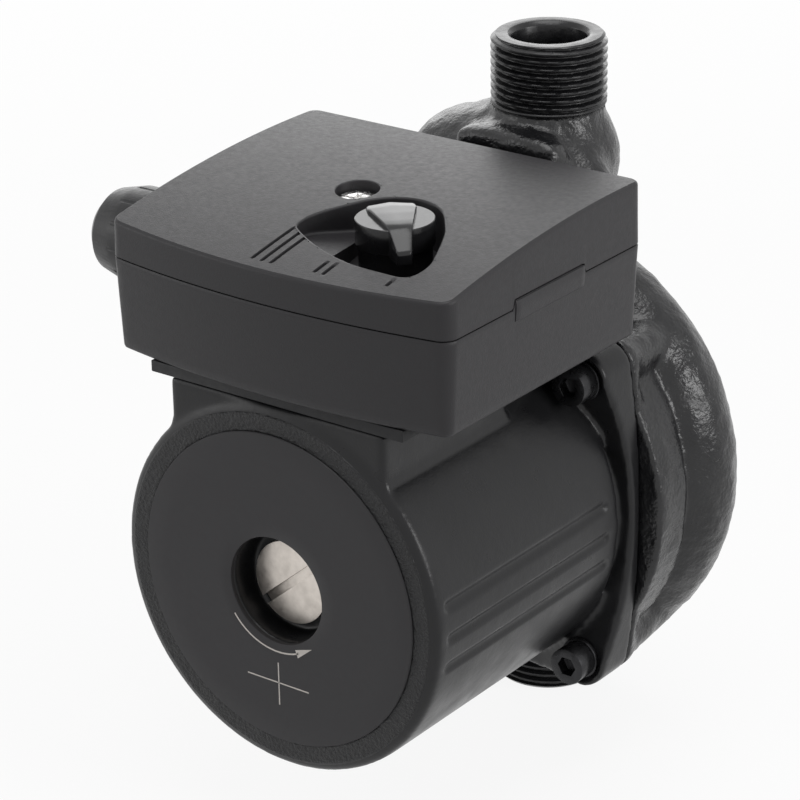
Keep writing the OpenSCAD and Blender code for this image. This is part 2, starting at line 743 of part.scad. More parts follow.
module motor_shell() {
    body_back = joint_reach + waist_t;
    body_len = motor_reach - body_back;
    recess_front = motor_reach - recess_depth;
    color([0.16, 0.16, 0.17]) difference() {
        union() {
            // round body with a softened front edge and a waist behind
            on_motor(joint_reach + over) cylinder(r = waist_r, h = waist_t);
            on_motor(body_back) rotate_extrude($fn = 144) union() {
                square([shell_r - shell_edge_r, body_len]);
                translate([0, groove_depth]) square([shell_r, body_len - shell_edge_r - groove_depth]);
                translate([shell_r - shell_edge_r, body_len - shell_edge_r])
                    circle(r = shell_edge_r);
            }
            // neck under the terminal box
            on_motor(motor_reach - neck_len) linear_extrude(neck_len - groove_depth)
                shell_section();
            // flange with saddle-shaped front and thick corners
            difference() {
                on_motor(joint_reach) linear_extrude(flange_t) motor_flange_outline();
                translate([-2 * flange_half, -joint_reach - flange_mid_t - saddle_r, axis_z])
                    rotate([0, 90, 0]) cylinder(r = saddle_r, h = 4 * flange_half, $fn = 240);
                translate([0, -joint_reach - flange_mid_t - saddle_r, axis_z - 2 * flange_half])
                    cylinder(r = saddle_r, h = 4 * flange_half, $fn = 240);
            }
        }
        // hollow for the stator, with a boss left round the can's nose
        difference() {
            on_motor(joint_reach + plate_t_disc)
                cylinder(r = cavity_r, h = motor_reach - front_wall - joint_reach - plate_t_disc);
            on_motor(can_step + can_wall) cylinder(r = boss_r, h = motor_reach);
        }
        on_motor(joint_reach - over)
            cylinder(r = plate_rim_r + slide_gap, h = plate_t_disc + can_flange_t + over);
        on_motor(can_step) cylinder(r = nose_r + slide_gap, h = can_front - can_step + slide_gap);
        // vent plug: threaded hole, round recess and nameplate seat
        on_motor(can_front - over) cylinder(r = plug_shank_r + run_gap, h = motor_reach);
        on_motor(recess_front) cylinder(r = vent_opening_r, h = recess_depth + over);
        on_motor(motor_reach - nameplate_sunk)
            cylinder(r = nameplate_r + slide_gap, h = nameplate_sunk + over);
        // leads pass up the neck
        translate([-neck_hole_half, -motor_reach + neck_len / 2 - neck_hole_len / 2, axis_z])
            cube([2 * neck_hole_half, neck_hole_len, neck_up + over]);
        // housing screws and their spot faces
        on_motor(joint_reach - over) at_screws()
            cylinder(r = screw_r + screw_hole_gap, h = flange_t + 2 * over);
        on_motor(joint_reach + flange_t - spot_depth) at_screws()
            cylinder(r = spot_r, h = spot_depth + waist_t);
        // grooves along both sides
        for (s = [0, 1], a = groove_angles) mirror([s, 0, 0])
            on_motor(groove_back_reach) rotate([0, 0, a])
                translate([shell_r - groove_depth, -groove_w / 2, 0])
                    cube([2 * groove_depth, groove_w,
                        motor_reach - groove_margin - groove_back_reach]);
        // threaded holes for the box screws
        at_box_screws(box_z + floor_t - box_screw_len)
            cylinder(r = screw_r - run_gap, h = box_screw_len);
    }
}

module nameplate() {
    color([0.2, 0.2, 0.21]) on_motor(motor_reach - nameplate_sunk)
        ring(nameplate_r, vent_opening_r, nameplate_t);
}

module vent_plug() {
    seat = motor_reach - recess_depth;
    color([0.78, 0.77, 0.74]) difference() {
        union() {
            on_motor(seat + seat_gap) cylinder(r = vent_head_r, h = plug_head_t - seat_gap);
            on_motor(can_front + seat_gap)
                cylinder(r = plug_shank_r - run_gap, h = seat - can_front);
        }
        on_motor(seat + plug_head_t - plug_slot_depth) rotate([0, 0, 40])
            translate([-vent_head_r - over, -plug_slot_w / 2, 0])
                cube([2 * vent_head_r + 2 * over, plug_slot_w, plug_slot_depth + over]);
        // groove for the O-ring in the shank
        on_motor(seat - 2 * o_ring_t) ring(plug_shank_r + over, plug_shank_r - o_ring_t, o_ring_t);
    }
}

module vent_o_ring() {
    color([0.1, 0.1, 0.1]) on_motor(motor_reach - recess_depth - 2 * o_ring_t)
        ring(plug_shank_r - run_gap, plug_shank_r - o_ring_t, o_ring_t);
}

module housing_screws() {
    head = joint_reach + flange_t - spot_depth + washer_t;
    color([0.2, 0.2, 0.21]) difference() {
        union() {
            on_motor(joint_reach - screw_bite + over) at_screws()
                cylinder(r = screw_r, h = head - joint_reach + screw_bite);
            on_motor(head) at_screws() cylinder(r = screw_head_r, h = screw_head_h);
        }
        on_motor(head + screw_head_h - screw_socket_depth) at_screws()
            cylinder(r = screw_socket_r, h = screw_socket_depth + over, $fn = 6);
    }
}

module screw_washers() {
    color([0.25, 0.25, 0.26]) on_motor(joint_reach + flange_t - spot_depth)
        at_screws() ring(washer_r, screw_r, washer_t);
}

// Plan of the terminal box, drawn in by an inset: straight back and sides, bowed front.
module box_plan(inset) {
    half = box_half - inset;
    r = max(box_edge_r - inset, box_edge_r / 4);
    back = -box_back_reach - inset;
    bow_r = front_bow_r - inset;
    intersection() {
        translate([0, -box_corner_reach - front_bow + front_bow_r])
            circle(r = bow_r, $fn = 240);
        union() {
            translate([-half + r, -box_corner_reach - 2 * front_bow])
                square([2 * (half - r), back + box_corner_reach + 2 * front_bow]);
            translate([-half, -box_corner_reach - 2 * front_bow])
                square([2 * half, back - r + box_corner_reach + 2 * front_bow]);
            for (sx = [-1, 1]) translate([sx * (half - r), back - r]) circle(r = r);
        }
    }
}

module box_gasket() {
    half = neck_half + foot_lip;
    color([0.1, 0.1, 0.1]) difference() {
        translate([-half, -motor_reach + groove_depth, neck_top_z])
            cube([2 * half, foot_len, foot_t]);
        translate([-neck_hole_half, -motor_reach + neck_len / 2 - neck_hole_len / 2,
            neck_top_z - over])
            cube([2 * neck_hole_half, neck_hole_len, foot_t + 2 * over]);
        at_box_screws(neck_top_z - over)
            cylinder(r = screw_r + screw_hole_gap, h = foot_t + 2 * over);
    }
}

module terminal_box() {
    post_h = lid_well_z - lid_skin - box_z - lip_h;
    color([0.19, 0.19, 0.2]) difference() {
        union() {
            difference() {
                translate([0, 0, box_z]) linear_extrude(box_h) box_plan(0);
                translate([0, 0, box_z + floor_t]) linear_extrude(box_h) box_plan(box_wall);
            }
            // post for the lid screw
            translate([-lid_screw_left, -lid_screw_reach, box_z + floor_t / 2])
                cylinder(r = lid_post_r, h = post_h);
            // latch on the right side: a tab in the lid's notch and a ridge below it
            translate([box_half - box_wall, -latch_reach - latch_len / 2 + seat_gap,
                split_z - over])
                cube([box_wall, latch_len - 2 * seat_gap, latch_tab_h - seat_gap + over]);
            translate([box_half - over, -latch_reach - latch_len / 2, split_z - 2 * latch_h])
                cube([latch_t + over, latch_len, latch_h]);
        }
        translate([-lid_screw_left, -lid_screw_reach, box_z + floor_t])
            cylinder(r = lid_screw_r + thread_hole_gap, h = post_h);
        // seal groove in the rim
        translate([0, 0, split_z - seal_t]) linear_extrude(seal_t + over) difference() {
            box_plan((box_wall - seal_w) / 2);
            box_plan((box_wall + seal_w) / 2);
        }
        // opening for the leads, holes for the two box screws and for the gland
        translate([-neck_hole_half, -motor_reach + neck_len / 2 - neck_hole_len / 2,
            box_z - over])
            cube([2 * neck_hole_half, neck_hole_len, floor_t + 2 * over]);
        at_box_screws(box_z - over)
            cylinder(r = screw_r + screw_hole_gap, h = floor_t + 2 * over);
        translate([-box_half - over, -gland_reach, gland_z]) rotate([0, 90, 0])
            cylinder(r = gland_stem_r + slide_gap, h = box_wall + 2 * over);
    }
}

module lid_seal() {
    color([0.08, 0.08, 0.08]) translate([0, 0, split_z - seal_t]) linear_extrude(seal_t)
        difference() {
            box_plan((box_wall - seal_w) / 2);
            box_plan((box_wall + seal_w) / 2);
        }
}

// Side view of the lid under its crowned top, as a solid across the whole width.
module lid_under_top(skin) {
    half = box_half + over;
    chord_mid = (lid_back_h + lid_front_h) / 2;
    drop = sqrt(pow(lid_crown_r, 2) - pow(box_len / 2, 2));
    translate([half, -box_mid_reach, split_z]) rotate([90, 0, -90]) linear_extrude(2 * half)
        intersection() {
            translate([-box_len, -over]) square([2 * box_len, 3 * lid_back_h]);
            rotate(-lid_slope) translate([0, chord_mid * cos(lid_slope) - drop - skin])
                circle(r = lid_crown_r, $fn = 360);
        }
}

// Dished opening round the knob, grown by a wall: a round hollow drawn out to a tip
// on the left and to two corners in front.
module dish_plan(grow) {
    translate([knob_x, -knob_reach]) hull() for (i = [0 : 4])
        translate(dish_places[i]) circle(r = dish_radii[i] + grow, $fn = 40);
}

// Plan of the dish's deep part: everything right of a line, and a ring round the stem.
module pocket_plan(grow) {
    intersection() {
        dish_plan(grow);
        union() {
            translate([knob_x - pocket_left - grow, -knob_reach - box_half])
                square([box_half, box_w]);
            translate([knob_x, -knob_reach]) circle(r = knob_r + knob_gap + grow);
        }
    }
}

module terminal_lid() {
    well = [-lid_screw_left, -lid_screw_reach, lid_well_z];
    color([0.21, 0.21, 0.22]) difference() {
        union() {
            difference() {
                intersection() {
                    translate([0, 0, split_z]) linear_extrude(2 * lid_back_h) box_plan(0);
                    lid_under_top(0);
                }
                intersection() {
                    translate([0, 0, split_z - over]) linear_extrude(2 * lid_back_h)
                        box_plan(box_wall);
                    lid_under_top(lid_skin);
                }
            }
            // tube under the screw's well
            intersection() {
                translate([well[0], well[1], well[2] - lid_skin])
                    cylinder(r = lid_well_r + lid_skin / 2, h = lid_well_depth + lid_skin);
                lid_under_top(lid_skin / 2);
            }
            // shallow left part of the dish and the deep pocket round the knob's stem
            intersection() {
                union() {
                    translate([0, 0, dish_floor_z - recess_skin])
                        linear_extrude(recess_skin + dish_depth) dish_plan(dish_wall);
                    translate([0, 0, split_z]) linear_extrude(lid_back_h)
                        pocket_plan(dish_wall);
                }
                lid_under_top(lid_skin / 2);
            }
        }
        translate(well) cylinder(r = lid_well_r, h = 2 * lid_well_depth);
        translate([well[0], well[1], well[2] - 2 * lid_skin])
            cylinder(r = lid_screw_r + screw_hole_gap, h = 4 * lid_skin);
        // dish with a sloping left floor, and the pocket with the hole for the stem
        intersection() {
            translate([0, 0, dish_floor_z]) linear_extrude(2 * dish_depth) dish_plan(0);
            translate([knob_x + dish_places[1][0] - dish_radii[1], -knob_reach,
                lid_top_z(knob_reach - dish_places[1][1]) - dish_tip_depth])
                rotate([0, dish_slope, 0]) translate([0, -box_half, 0])
                    cube([box_w, box_w, box_w]);
        }
        translate([0, 0, split_z + pocket_rise]) linear_extrude(lid_back_h) pocket_plan(0);
        translate([knob_x, -knob_reach, split_z - over])
            cylinder(r = knob_stem_r + knob_gap, h = pocket_rise + 2 * over);
        // notch that takes the latch's tab on the right side
        translate([box_half - box_wall - over, -latch_reach - latch_len / 2, split_z - over])
            cube([box_wall + 2 * over, latch_len, latch_tab_h + over]);
        // engraved marks of the three speeds
        for (i = [0 : 2], k = [0 : 2 - i])
            translate([mark_xs[i] + (k - (2 - i) / 2) * mark_pitch - mark_w / 2,
                -mark_end_reach, lid_top_z(mark_end_reach) - mark_depth])
                rotate([lid_slope, 0, 0])
                    cube([mark_w, mark_end_reach - mark_reaches[i], 2 * lid_skin]);
    }
}

module lid_screw() {
    color([0.85, 0.85, 0.87]) difference() {
        translate([-lid_screw_left, -lid_screw_reach, lid_well_z]) union() {
            cylinder(r = lid_screw_head_r, h = lid_screw_head_h);
            translate([0, 0, -lid_screw_len]) cylinder(r = lid_screw_r, h = lid_screw_len + over);
        }
        for (a = [0, 90])
            translate([-lid_screw_left, -lid_screw_reach, lid_well_z + lid_screw_head_h])
                rotate([0, 0, a + 20])
                    cube([lid_screw_head_r, mark_w, 2 * mark_depth * 2], center = true);
    }
}

module speed_switch() {
    top = knob_z - knob_skirt - knob_stem_h;
    color([0.12, 0.12, 0.13]) union() {
        translate([knob_x - switch_half, -knob_reach - switch_half, box_z + floor_t])
            cube([2 * switch_half, 2 * switch_half, top - box_z - floor_t - seat_gap]);
        translate([knob_x, -knob_reach, top - over]) cylinder(r = spindle_r, h = spindle_len);
    }
}

module selector_knob() {
    base = knob_z - knob_skirt - knob_stem_h;
    color([0.05, 0.05, 0.05]) translate([knob_x, -knob_reach, 0]) rotate([0, 0, knob_rest])
        difference() {
            union() {
                translate([0, 0, knob_z - knob_skirt]) cylinder(r = knob_r, h = knob_skirt);
                translate([0, 0, base]) cylinder(r = knob_stem_r, h = knob_stem_h + over);
                // pointer: wide at the back, drawn in to a nose that hangs over the edge
                translate([0, 0, knob_z - over]) linear_extrude(pointer_t + over)
                    pointer_outline();
                translate([knob_r - pointer_half, -nose_half, knob_z - pointer_drop])
                    cube([pointer_half + pointer_out, 2 * nose_half,
                        pointer_drop + pointer_t - pointer_inset]);
            }
            translate([0, 0, base - over])
                cylinder(r = spindle_r + run_gap, h = spindle_len + over);
        }
}

module pointer_outline() {
    narrowing = pointer_tail_half - pointer_half;
    flare = (pow(knob_r + pointer_tail, 2) + pow(narrowing, 2)) / (2 * narrowing);
    difference() {
        intersection() {
            circle(r = knob_r - pointer_inset);
            translate([-knob_r, -pointer_tail_half]) square([2 * knob_r, 2 * pointer_tail_half]);
        }
        for (s = [-1, 1]) translate([knob_r, s * (flare + pointer_half)])
            circle(r = flare, $fn = 144);
        translate([-2 * knob_r - pointer_tail, -knob_r]) square([2 * knob_r, 2 * knob_r]);
    }
}

module terminal_block() {
    color([0.88, 0.86, 0.8]) difference() {
        translate([block_x - block_size[0] / 2, -block_reach - block_size[1] / 2,
            box_z + floor_t])
            cube(block_size);
        for (i = [0 : pole_count - 1])
            translate([block_x + (i - (pole_count - 1) / 2) * pole_pitch, -block_reach,
                box_z + floor_t + block_size[2] / 2])
                cylinder(r = pole_screw_r, h = block_size[2]);
    }
}

module terminal_screws() {
    color([0.8, 0.75, 0.5]) for (i = [0 : pole_count - 1])
        translate([block_x + (i - (pole_count - 1) / 2) * pole_pitch, -block_reach,
            box_z + floor_t + block_size[2] / 2])
            cylinder(r = pole_screw_r, h = block_size[2] / 3);
}

module capacitor() {
    color([0.85, 0.85, 0.86])
        translate([-capacitor_len / 2, -box_back_reach - box_wall - capacitor_gap - capacitor_r,
            box_z + floor_t + capacitor_gap + capacitor_r])
            rotate([0, 90, 0]) cylinder(r = capacitor_r, h = capacitor_len);
}

// Cradle that holds the capacitor on the box's floor.
module capacitor_clip() {
    y = -box_back_reach - box_wall - capacitor_gap - capacitor_r;
    color([0.3, 0.3, 0.32]) difference() {
        for (s = [-1, 1])
            translate([s * capacitor_len / 4 - saddle_w / 2, y - capacitor_r, box_z + floor_t])
                cube([saddle_w, 2 * capacitor_r, capacitor_gap + capacitor_r / 2]);
        translate([-capacitor_len, y, box_z + floor_t + capacitor_gap + capacitor_r])
            rotate([0, 90, 0]) cylinder(r = capacitor_r, h = 2 * capacitor_len);
    }
}

module pan_screw(len) {
    difference() {
        union() {
            cylinder(r = pan_r, h = pan_h);
            translate([0, 0, -len]) cylinder(r = screw_r - 2 * run_gap, h = len + over);
        }
        for (a = [0, 90]) rotate([0, 0, a])
            translate([0, 0, pan_h]) cube([pan_r, mark_w, pan_h], center = true);
    }
}

module box_screws() {
    color([0.8, 0.8, 0.82]) for (p = box_screw_places)
        translate([p[0], -p[1], box_z + floor_t]) pan_screw(box_screw_len);
}

module earth_screw() {
    color([0.8, 0.72, 0.35])
        translate([earth_place[0], -earth_place[1], box_z + floor_t]) pan_screw(box_screw_len);
}

// Four leads that rise through the neck and turn into the switch's side.
module winding_leads() {
    from_z = axis_z + stator_r * slot_outer_share;
    to_x = knob_x - switch_half - seat_gap;
    color([0.75, 0.15, 0.12]) for (i = [0, 1], k = [0, 1]) {
        turn = [to_x - lead_turn - i * lead_pitch, -winding_front + lead_pitch * (0.5 + k),
            box_z + floor_t + lead_rise * (1 + i / 2)];
        translate([turn[0], turn[1], from_z]) cylinder(r = lead_r, h = turn[2] - from_z);
        translate(turn) sphere(r = lead_r + back_seam / 4);
        bar(turn, [to_x, turn[1], turn[2]], lead_r);
    }
}

module on_gland(x) {
    translate([x, -gland_reach, gland_z]) rotate([0, -90, 0]) children();
}

module gland_body() {
    color([0.12, 0.12, 0.13]) difference() {
        union() {
            on_gland(-box_half) cylinder(r = gland_flange_r, h = gland_flange_t, $fn = 6);
            on_gland(-box_half + box_wall + locknut_t + over)
                cylinder(r = gland_stem_r, h = box_wall + locknut_t + gland_out * 0.6);
        }
        on_gland(0) cylinder(r = gland_bore_r, h = box_half + gland_out);
        on_gland(-box_half - gland_flange_t - over)
            cylinder(r = gland_stem_r - floor_t / 2, h = gland_out);
    }
}

module gland_locknut() {
    color([0.14, 0.14, 0.15]) difference() {
        on_gland(-box_half + box_wall + locknut_t)
            cylinder(r = locknut_r, h = locknut_t, $fn = 6);
        on_gland(-box_half + box_wall + locknut_t + over)
            cylinder(r = gland_stem_r, h = locknut_t + 2 * over);
    }
}

module gland_seal() {
    color([0.1, 0.1, 0.1]) on_gland(-box_half - gland_flange_t - over)
        ring(gland_stem_r - floor_t / 2, gland_bore_r, gland_seal_t);
}

module gland_nut() {
    nut_len = gland_out - gland_flange_t - seat_gap;
    color([0.11, 0.11, 0.12]) difference() {
        on_gland(-box_half - gland_flange_t - seat_gap) rotate_extrude() polygon([
            [0, 0], [gland_nut_r, 0], [gland_nut_r, nut_len * 0.6],
            [gland_tip_r, nut_len * 0.9], [gland_tip_r - nut_len * 0.1, nut_len], [0, nut_len]]);
        on_gland(-box_half) cylinder(r = gland_bore_r + seat_gap, h = 2 * gland_out);
        on_gland(-box_half) cylinder(r = gland_stem_r + seat_gap, h = gland_out * 0.6 + seat_gap);
        for (i = [0 : gland_ribs - 1]) on_gland(-box_half) rotate([0, 0, 360 / gland_ribs * i])
            translate([gland_nut_r + gland_rib_w / 3, 0, 0])
                cylinder(r = gland_rib_w / 2, h = gland_out * 0.8);
    }
}

pump_housing();
wear_ring();
housing_gasket();
bearing_plate();
rear_bearing();
impeller();
shaft();
thrust_ring();
rotor_core();
front_bearing();
rotor_can();
stator_core();
stator_windings();
motor_shell();
nameplate();
vent_plug();
vent_o_ring();
housing_screws();
screw_washers();
box_gasket();
terminal_box();
lid_seal();
terminal_lid();
lid_screw();
speed_switch();
selector_knob();
terminal_block();
terminal_screws();
capacitor();
capacitor_clip();
box_screws();
earth_screw();
winding_leads();
gland_body();
gland_locknut();
gland_seal();
gland_nut();
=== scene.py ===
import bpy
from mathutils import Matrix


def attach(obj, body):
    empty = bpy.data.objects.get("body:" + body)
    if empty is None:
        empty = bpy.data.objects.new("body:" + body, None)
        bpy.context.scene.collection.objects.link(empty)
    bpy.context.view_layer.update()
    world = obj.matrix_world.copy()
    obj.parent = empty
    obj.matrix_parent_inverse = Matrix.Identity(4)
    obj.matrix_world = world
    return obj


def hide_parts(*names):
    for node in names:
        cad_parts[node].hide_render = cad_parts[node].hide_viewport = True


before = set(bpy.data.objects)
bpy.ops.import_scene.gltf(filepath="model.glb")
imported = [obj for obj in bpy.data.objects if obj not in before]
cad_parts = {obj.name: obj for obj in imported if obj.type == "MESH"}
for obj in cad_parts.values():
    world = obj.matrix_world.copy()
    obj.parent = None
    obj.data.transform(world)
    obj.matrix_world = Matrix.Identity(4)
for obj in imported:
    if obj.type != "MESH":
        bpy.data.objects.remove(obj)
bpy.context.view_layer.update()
import math

import bmesh
import bpy
import numpy as np
from mathutils import Matrix, Vector

# ---------------------------------------------------------------------------------
# Camera. It stands to the right of the nameplate and looks down a little, at the
# photograph's angle and distance, worked out from the round faces and the box's edges.
camera = bpy.data.objects.new("camera", bpy.data.cameras.new("camera"))
bpy.context.scene.collection.objects.link(camera)
camera.location = (0.379364, -0.558266, 0.359089)
camera.rotation_euler = [math.radians(a) for a in (66.84764, 0.94395, 36.75887)]
camera.data.lens = 140.075
camera.data.sensor_width = 36
camera.data.clip_start = 0.05
camera.data.clip_end = 20
bpy.context.scene.camera = camera

# ---------------------------------------------------------------------------------
# Pump housing. A sand casting in iron: volute, ducts, flange and both ports in one,
# dipped in gloss black paint. Its skin is the solid's own shape, rounded as a casting
# is, with soft lumps; the motor's four screws are tapped into its lugs.
PORT_LENGTH = 160.0
JOINT_Y, THREAD_END, THREAD_ZONE_R = -27.0, 16.4, 15.0
CASTING_VOXEL, CASTING_SHARE = 0.0008, 0.62
PAD_PLACE, PAD_SIZE = (0.0005, 0.0084, 0.109), (0.014, 0.0023, 0.009)


def finish(name, colour, roughness, metallic=0.0, coat=0.0, specular=0.5):
    """A named finish: one Principled shader with its plain numbers on its own sockets."""
    made = bpy.data.materials.new(name)
    made.use_nodes = True
    shader = made.node_tree.nodes["Principled BSDF"]
    shader.inputs["Base Color"].default_value = (*colour, 1)
    shader.inputs["Roughness"].default_value = roughness
    shader.inputs["Metallic"].default_value = metallic
    shader.inputs["Coat Weight"].default_value = coat
    shader.inputs["Specular IOR Level"].default_value = specular
    shader.inputs["Coat Roughness"].default_value = 0.12
    return made


def noise(made, scale, detail=3.0, stretch=(1, 1, 1)):
    """A noise pattern on Object coordinates, with scale cells to the metre."""
    nodes, links = made.node_tree.nodes, made.node_tree.links
    place = nodes.new("ShaderNodeTexCoord")
    turn = nodes.new("ShaderNodeMapping")
    turn.inputs["Scale"].default_value = stretch
    pattern = nodes.new("ShaderNodeTexNoise")
    pattern.inputs["Scale"].default_value = scale
    pattern.inputs["Detail"].default_value = detail
    links.new(place.outputs["Object"], turn.inputs["Vector"])
    links.new(turn.outputs["Vector"], pattern.inputs["Vector"])
    return pattern.outputs["Fac"]


def relief(made, *layers):
    """Bumps the surface by several patterns, each (pattern, height in metres), the last on top."""
    nodes, links = made.node_tree.nodes, made.node_tree.links
    below = None
    for pattern, height in layers:
        bump = nodes.new("ShaderNodeBump")
        bump.inputs["Strength"].default_value = 1
        bump.inputs["Distance"].default_value = height
        links.new(pattern, bump.inputs["Height"])
        if below is not None:
            links.new(below, bump.inputs["Normal"])
        below = bump.outputs["Normal"]
    links.new(below, nodes["Principled BSDF"].inputs["Normal"])


def ramp(made, pattern, socket, low, high, start=0.3, end=0.7):
    """Leads a pattern to a socket, mapped from low to high between two levels of it."""
    nodes, links = made.node_tree.nodes, made.node_tree.links
    shader = nodes["Principled BSDF"]
    if socket == "Base Color":
        band = nodes.new("ShaderNodeValToRGB")
        band.color_ramp.elements[0].position = start
        band.color_ramp.elements[1].position = end
        band.color_ramp.elements[0].color = (*low, 1)
        band.color_ramp.elements[1].color = (*high, 1)
        links.new(pattern, band.inputs["Fac"])
        links.new(band.outputs["Color"], shader.inputs[socket])
        return
    band = nodes.new("ShaderNodeMapRange")
    for key, value in (("From Min", start), ("From Max", end), ("To Min", low), ("To Max", high)):
        band.inputs[key].default_value = value
    links.new(pattern, band.inputs["Value"])
    links.new(band.outputs["Result"], shader.inputs[socket])


def put(name, mesh, body, made, slot, *nodes):
    """Links a finished mesh as a piece: its finish, the body it rides on, the nodes it stands for."""
    piece = bpy.data.objects.new(name, mesh)
    bpy.context.scene.collection.objects.link(piece)
    mesh.materials.clear()
    mesh.materials.append(made)
    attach(piece, body)
    if nodes:
        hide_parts(*nodes)
    return piece


def merged(node, name):
    """A copy of a node's mesh with its loose triangles joined at their corners."""
    shape = bmesh.new()
    shape.from_mesh(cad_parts[node].data)
    bmesh.ops.remove_doubles(shape, verts=shape.verts, dist=2e-6)
    bmesh.ops.recalc_face_normals(shape, faces=shape.faces)
    mesh = bpy.data.meshes.new(name)
    shape.to_mesh(mesh)
    shape.free()
    return mesh


def worked(mesh, *steps):
    """The mesh after some modifiers, each (kind, settings)."""
    holder = bpy.data.objects.new(mesh.name + "_work", mesh)
    bpy.context.scene.collection.objects.link(holder)
    for kind, settings in steps:
        step = holder.modifiers.new(kind.lower(), kind)
        for key, value in settings.items():
            setattr(step, key, value)
    graph = bpy.context.evaluated_depsgraph_get()
    made = bpy.data.meshes.new_from_object(holder.evaluated_get(graph))
    bpy.data.objects.remove(holder)
    made.name = mesh.name
    return made


def read(mesh):
    """Points in millimetres and the pairs of points that its edges join, as arrays."""
    points = np.empty(len(mesh.vertices) * 3)
    mesh.vertices.foreach_get("co", points)
    pairs = np.empty(len(mesh.edges) * 2, int)
    mesh.edges.foreach_get("vertices", pairs)
    return points.reshape(-1, 3) * 1000, pairs.reshape(-1, 2)


def write(mesh, points):
    """Puts points in millimetres back into the mesh."""
    mesh.vertices.foreach_set("co", (points / 1000).ravel())
    mesh.update()


def relaxed(points, pairs, rounds, share):
    """Each round moves every point by its share of the way to the mean of its neighbours."""
    a, b = pairs[:, 0], pairs[:, 1]
    n = len(points)
    degree = np.bincount(pairs.ravel(), minlength=n)[:, None]
    for _ in range(rounds):
        mean = np.stack([np.bincount(a, points[b, k], n) + np.bincount(b, points[a, k], n)
                         for k in range(3)], 1) / degree
        points = points + share[:, None] * (mean - points)
    return points


def step_up(value, low, high):
    """0 below low, 1 above high, and a smooth rise between them."""
    t = np.clip((value - low) / (high - low), 0, 1)
    return t * t * (3 - 2 * t)


def waves(points, length, count, seed):
    """Soft lumps: a sum of sine waves of about one length in seeded random directions."""
    rng = np.random.default_rng(seed)
    way = rng.normal(size=(count, 3))
    way *= (2 * np.pi / (length * rng.uniform(0.7, 1.5, count)) / np.linalg.norm(way, axis=1))[:, None]
    return np.sin(points @ way.T + rng.uniform(0, 6.3, count)).sum(1) / math.sqrt(count)


# metal behind the foot of the delivery neck, which keeps the wall round its bore whole
casting = merged("pump_housing", "housing_casting")
shape = bmesh.new()
shape.from_mesh(casting)
pad = Matrix.Translation(PAD_PLACE) @ Matrix.Diagonal((*PAD_SIZE, 1))
bmesh.ops.create_uvsphere(shape, u_segments=32, v_segments=16, radius=1, matrix=pad)
shape.to_mesh(casting)
shape.free()
casting = worked(casting, ("REMESH", {"mode": "VOXEL", "voxel_size": CASTING_VOXEL}))
points, pairs = read(casting)
top_zone = step_up(points[:, 2], 96, 112) * step_up(points[:, 1], -23, -19)
joint_face = 1 - step_up(np.abs(points[:, 1] - JOINT_Y), 0.5, 1.6)
points = relaxed(points, pairs, 10, 0.5 * (1 - joint_face))
points = relaxed(points, pairs, 26, 0.5 * top_zone * (1 - joint_face))
write(casting, points)
normals = np.empty(len(points) * 3)
casting.vertices.foreach_get("normal", normals)
lumps = (0.10 * waves(points, 7.0, 24, 3) + 0.05 * waves(points, 2.6, 30, 4)) * (1 - joint_face)
points = points + normals.reshape(-1, 3) * lumps[:, None]
# the threaded stretches shrink under the cut threads
away = np.hypot(points[:, 0], points[:, 1])
at_end = (points[:, 2] < THREAD_END) | (points[:, 2] > PORT_LENGTH - THREAD_END)
in_thread = at_end & (away < THREAD_ZONE_R)
held = np.clip(away, 9.0, 11.5) / np.maximum(away, 1e-6)
points[in_thread, :2] *= held[in_thread, None]
points[in_thread, 2] = np.clip(points[in_thread, 2], 0.6, PORT_LENGTH - 0.6)
write(casting, points)
casting = worked(casting, ("DECIMATE", {"ratio": CASTING_SHARE}))
casting.shade_smooth()

gloss_black = finish("gloss_black_casting", (0.009, 0.009, 0.010), 0.2, specular=0.45)
relief(gloss_black, (noise(gloss_black, 240, 3), 0.0004), (noise(gloss_black, 1100, 4), 0.00018))
ramp(gloss_black, noise(gloss_black, 170, 4), "Roughness", 0.13, 0.34)
ramp(gloss_black, noise(gloss_black, 90, 5), "Base Color", (0.006, 0.006, 0.007), (0.013, 0.013, 0.014))
put("housing_casting", casting, "casing", gloss_black, "cast_black", "pump_housing")

# ---------------------------------------------------------------------------------
# Port threads. G 3/4 pipe threads cut on the ports' ends after casting: a right-hand
# helix of 1.814 mm pitch, a bevelled end face and a chamfered bore, under the same paint.
THREAD_R, THREAD_PITCH, THREAD_DEPTH, THREAD_LENGTH = 13.2, 1.814, 1.16, 16.0


def skin(name, grid, wrap_u=False, wrap_v=False, flip=False, sharp=40, caps=()):
    """A mesh from a grid of points in millimetres, [u, v, 3]; wrap joins the last row or
    column to the first, flip turns the faces over, and caps closes rows with one face."""
    nu, nv = grid.shape[:2]
    index = np.arange(nu * nv).reshape(nu, nv)
    if wrap_u:
        index = np.concatenate([index, index[:1]], 0)
    if wrap_v:
        index = np.concatenate([index, index[:, :1]], 1)
    faces = np.stack([index[:-1, :-1], index[1:, :-1], index[1:, 1:], index[:-1, 1:]], -1).reshape(-1, 4)
    faces = faces[:, ::-1] if flip else faces
    faces = faces.tolist()
    for row in caps:
        loop = index[row, :nv].tolist()
        faces.append(loop if (row != 0) == flip else loop[::-1])
    return from_faces(name, grid.reshape(-1, 3), faces, sharp)


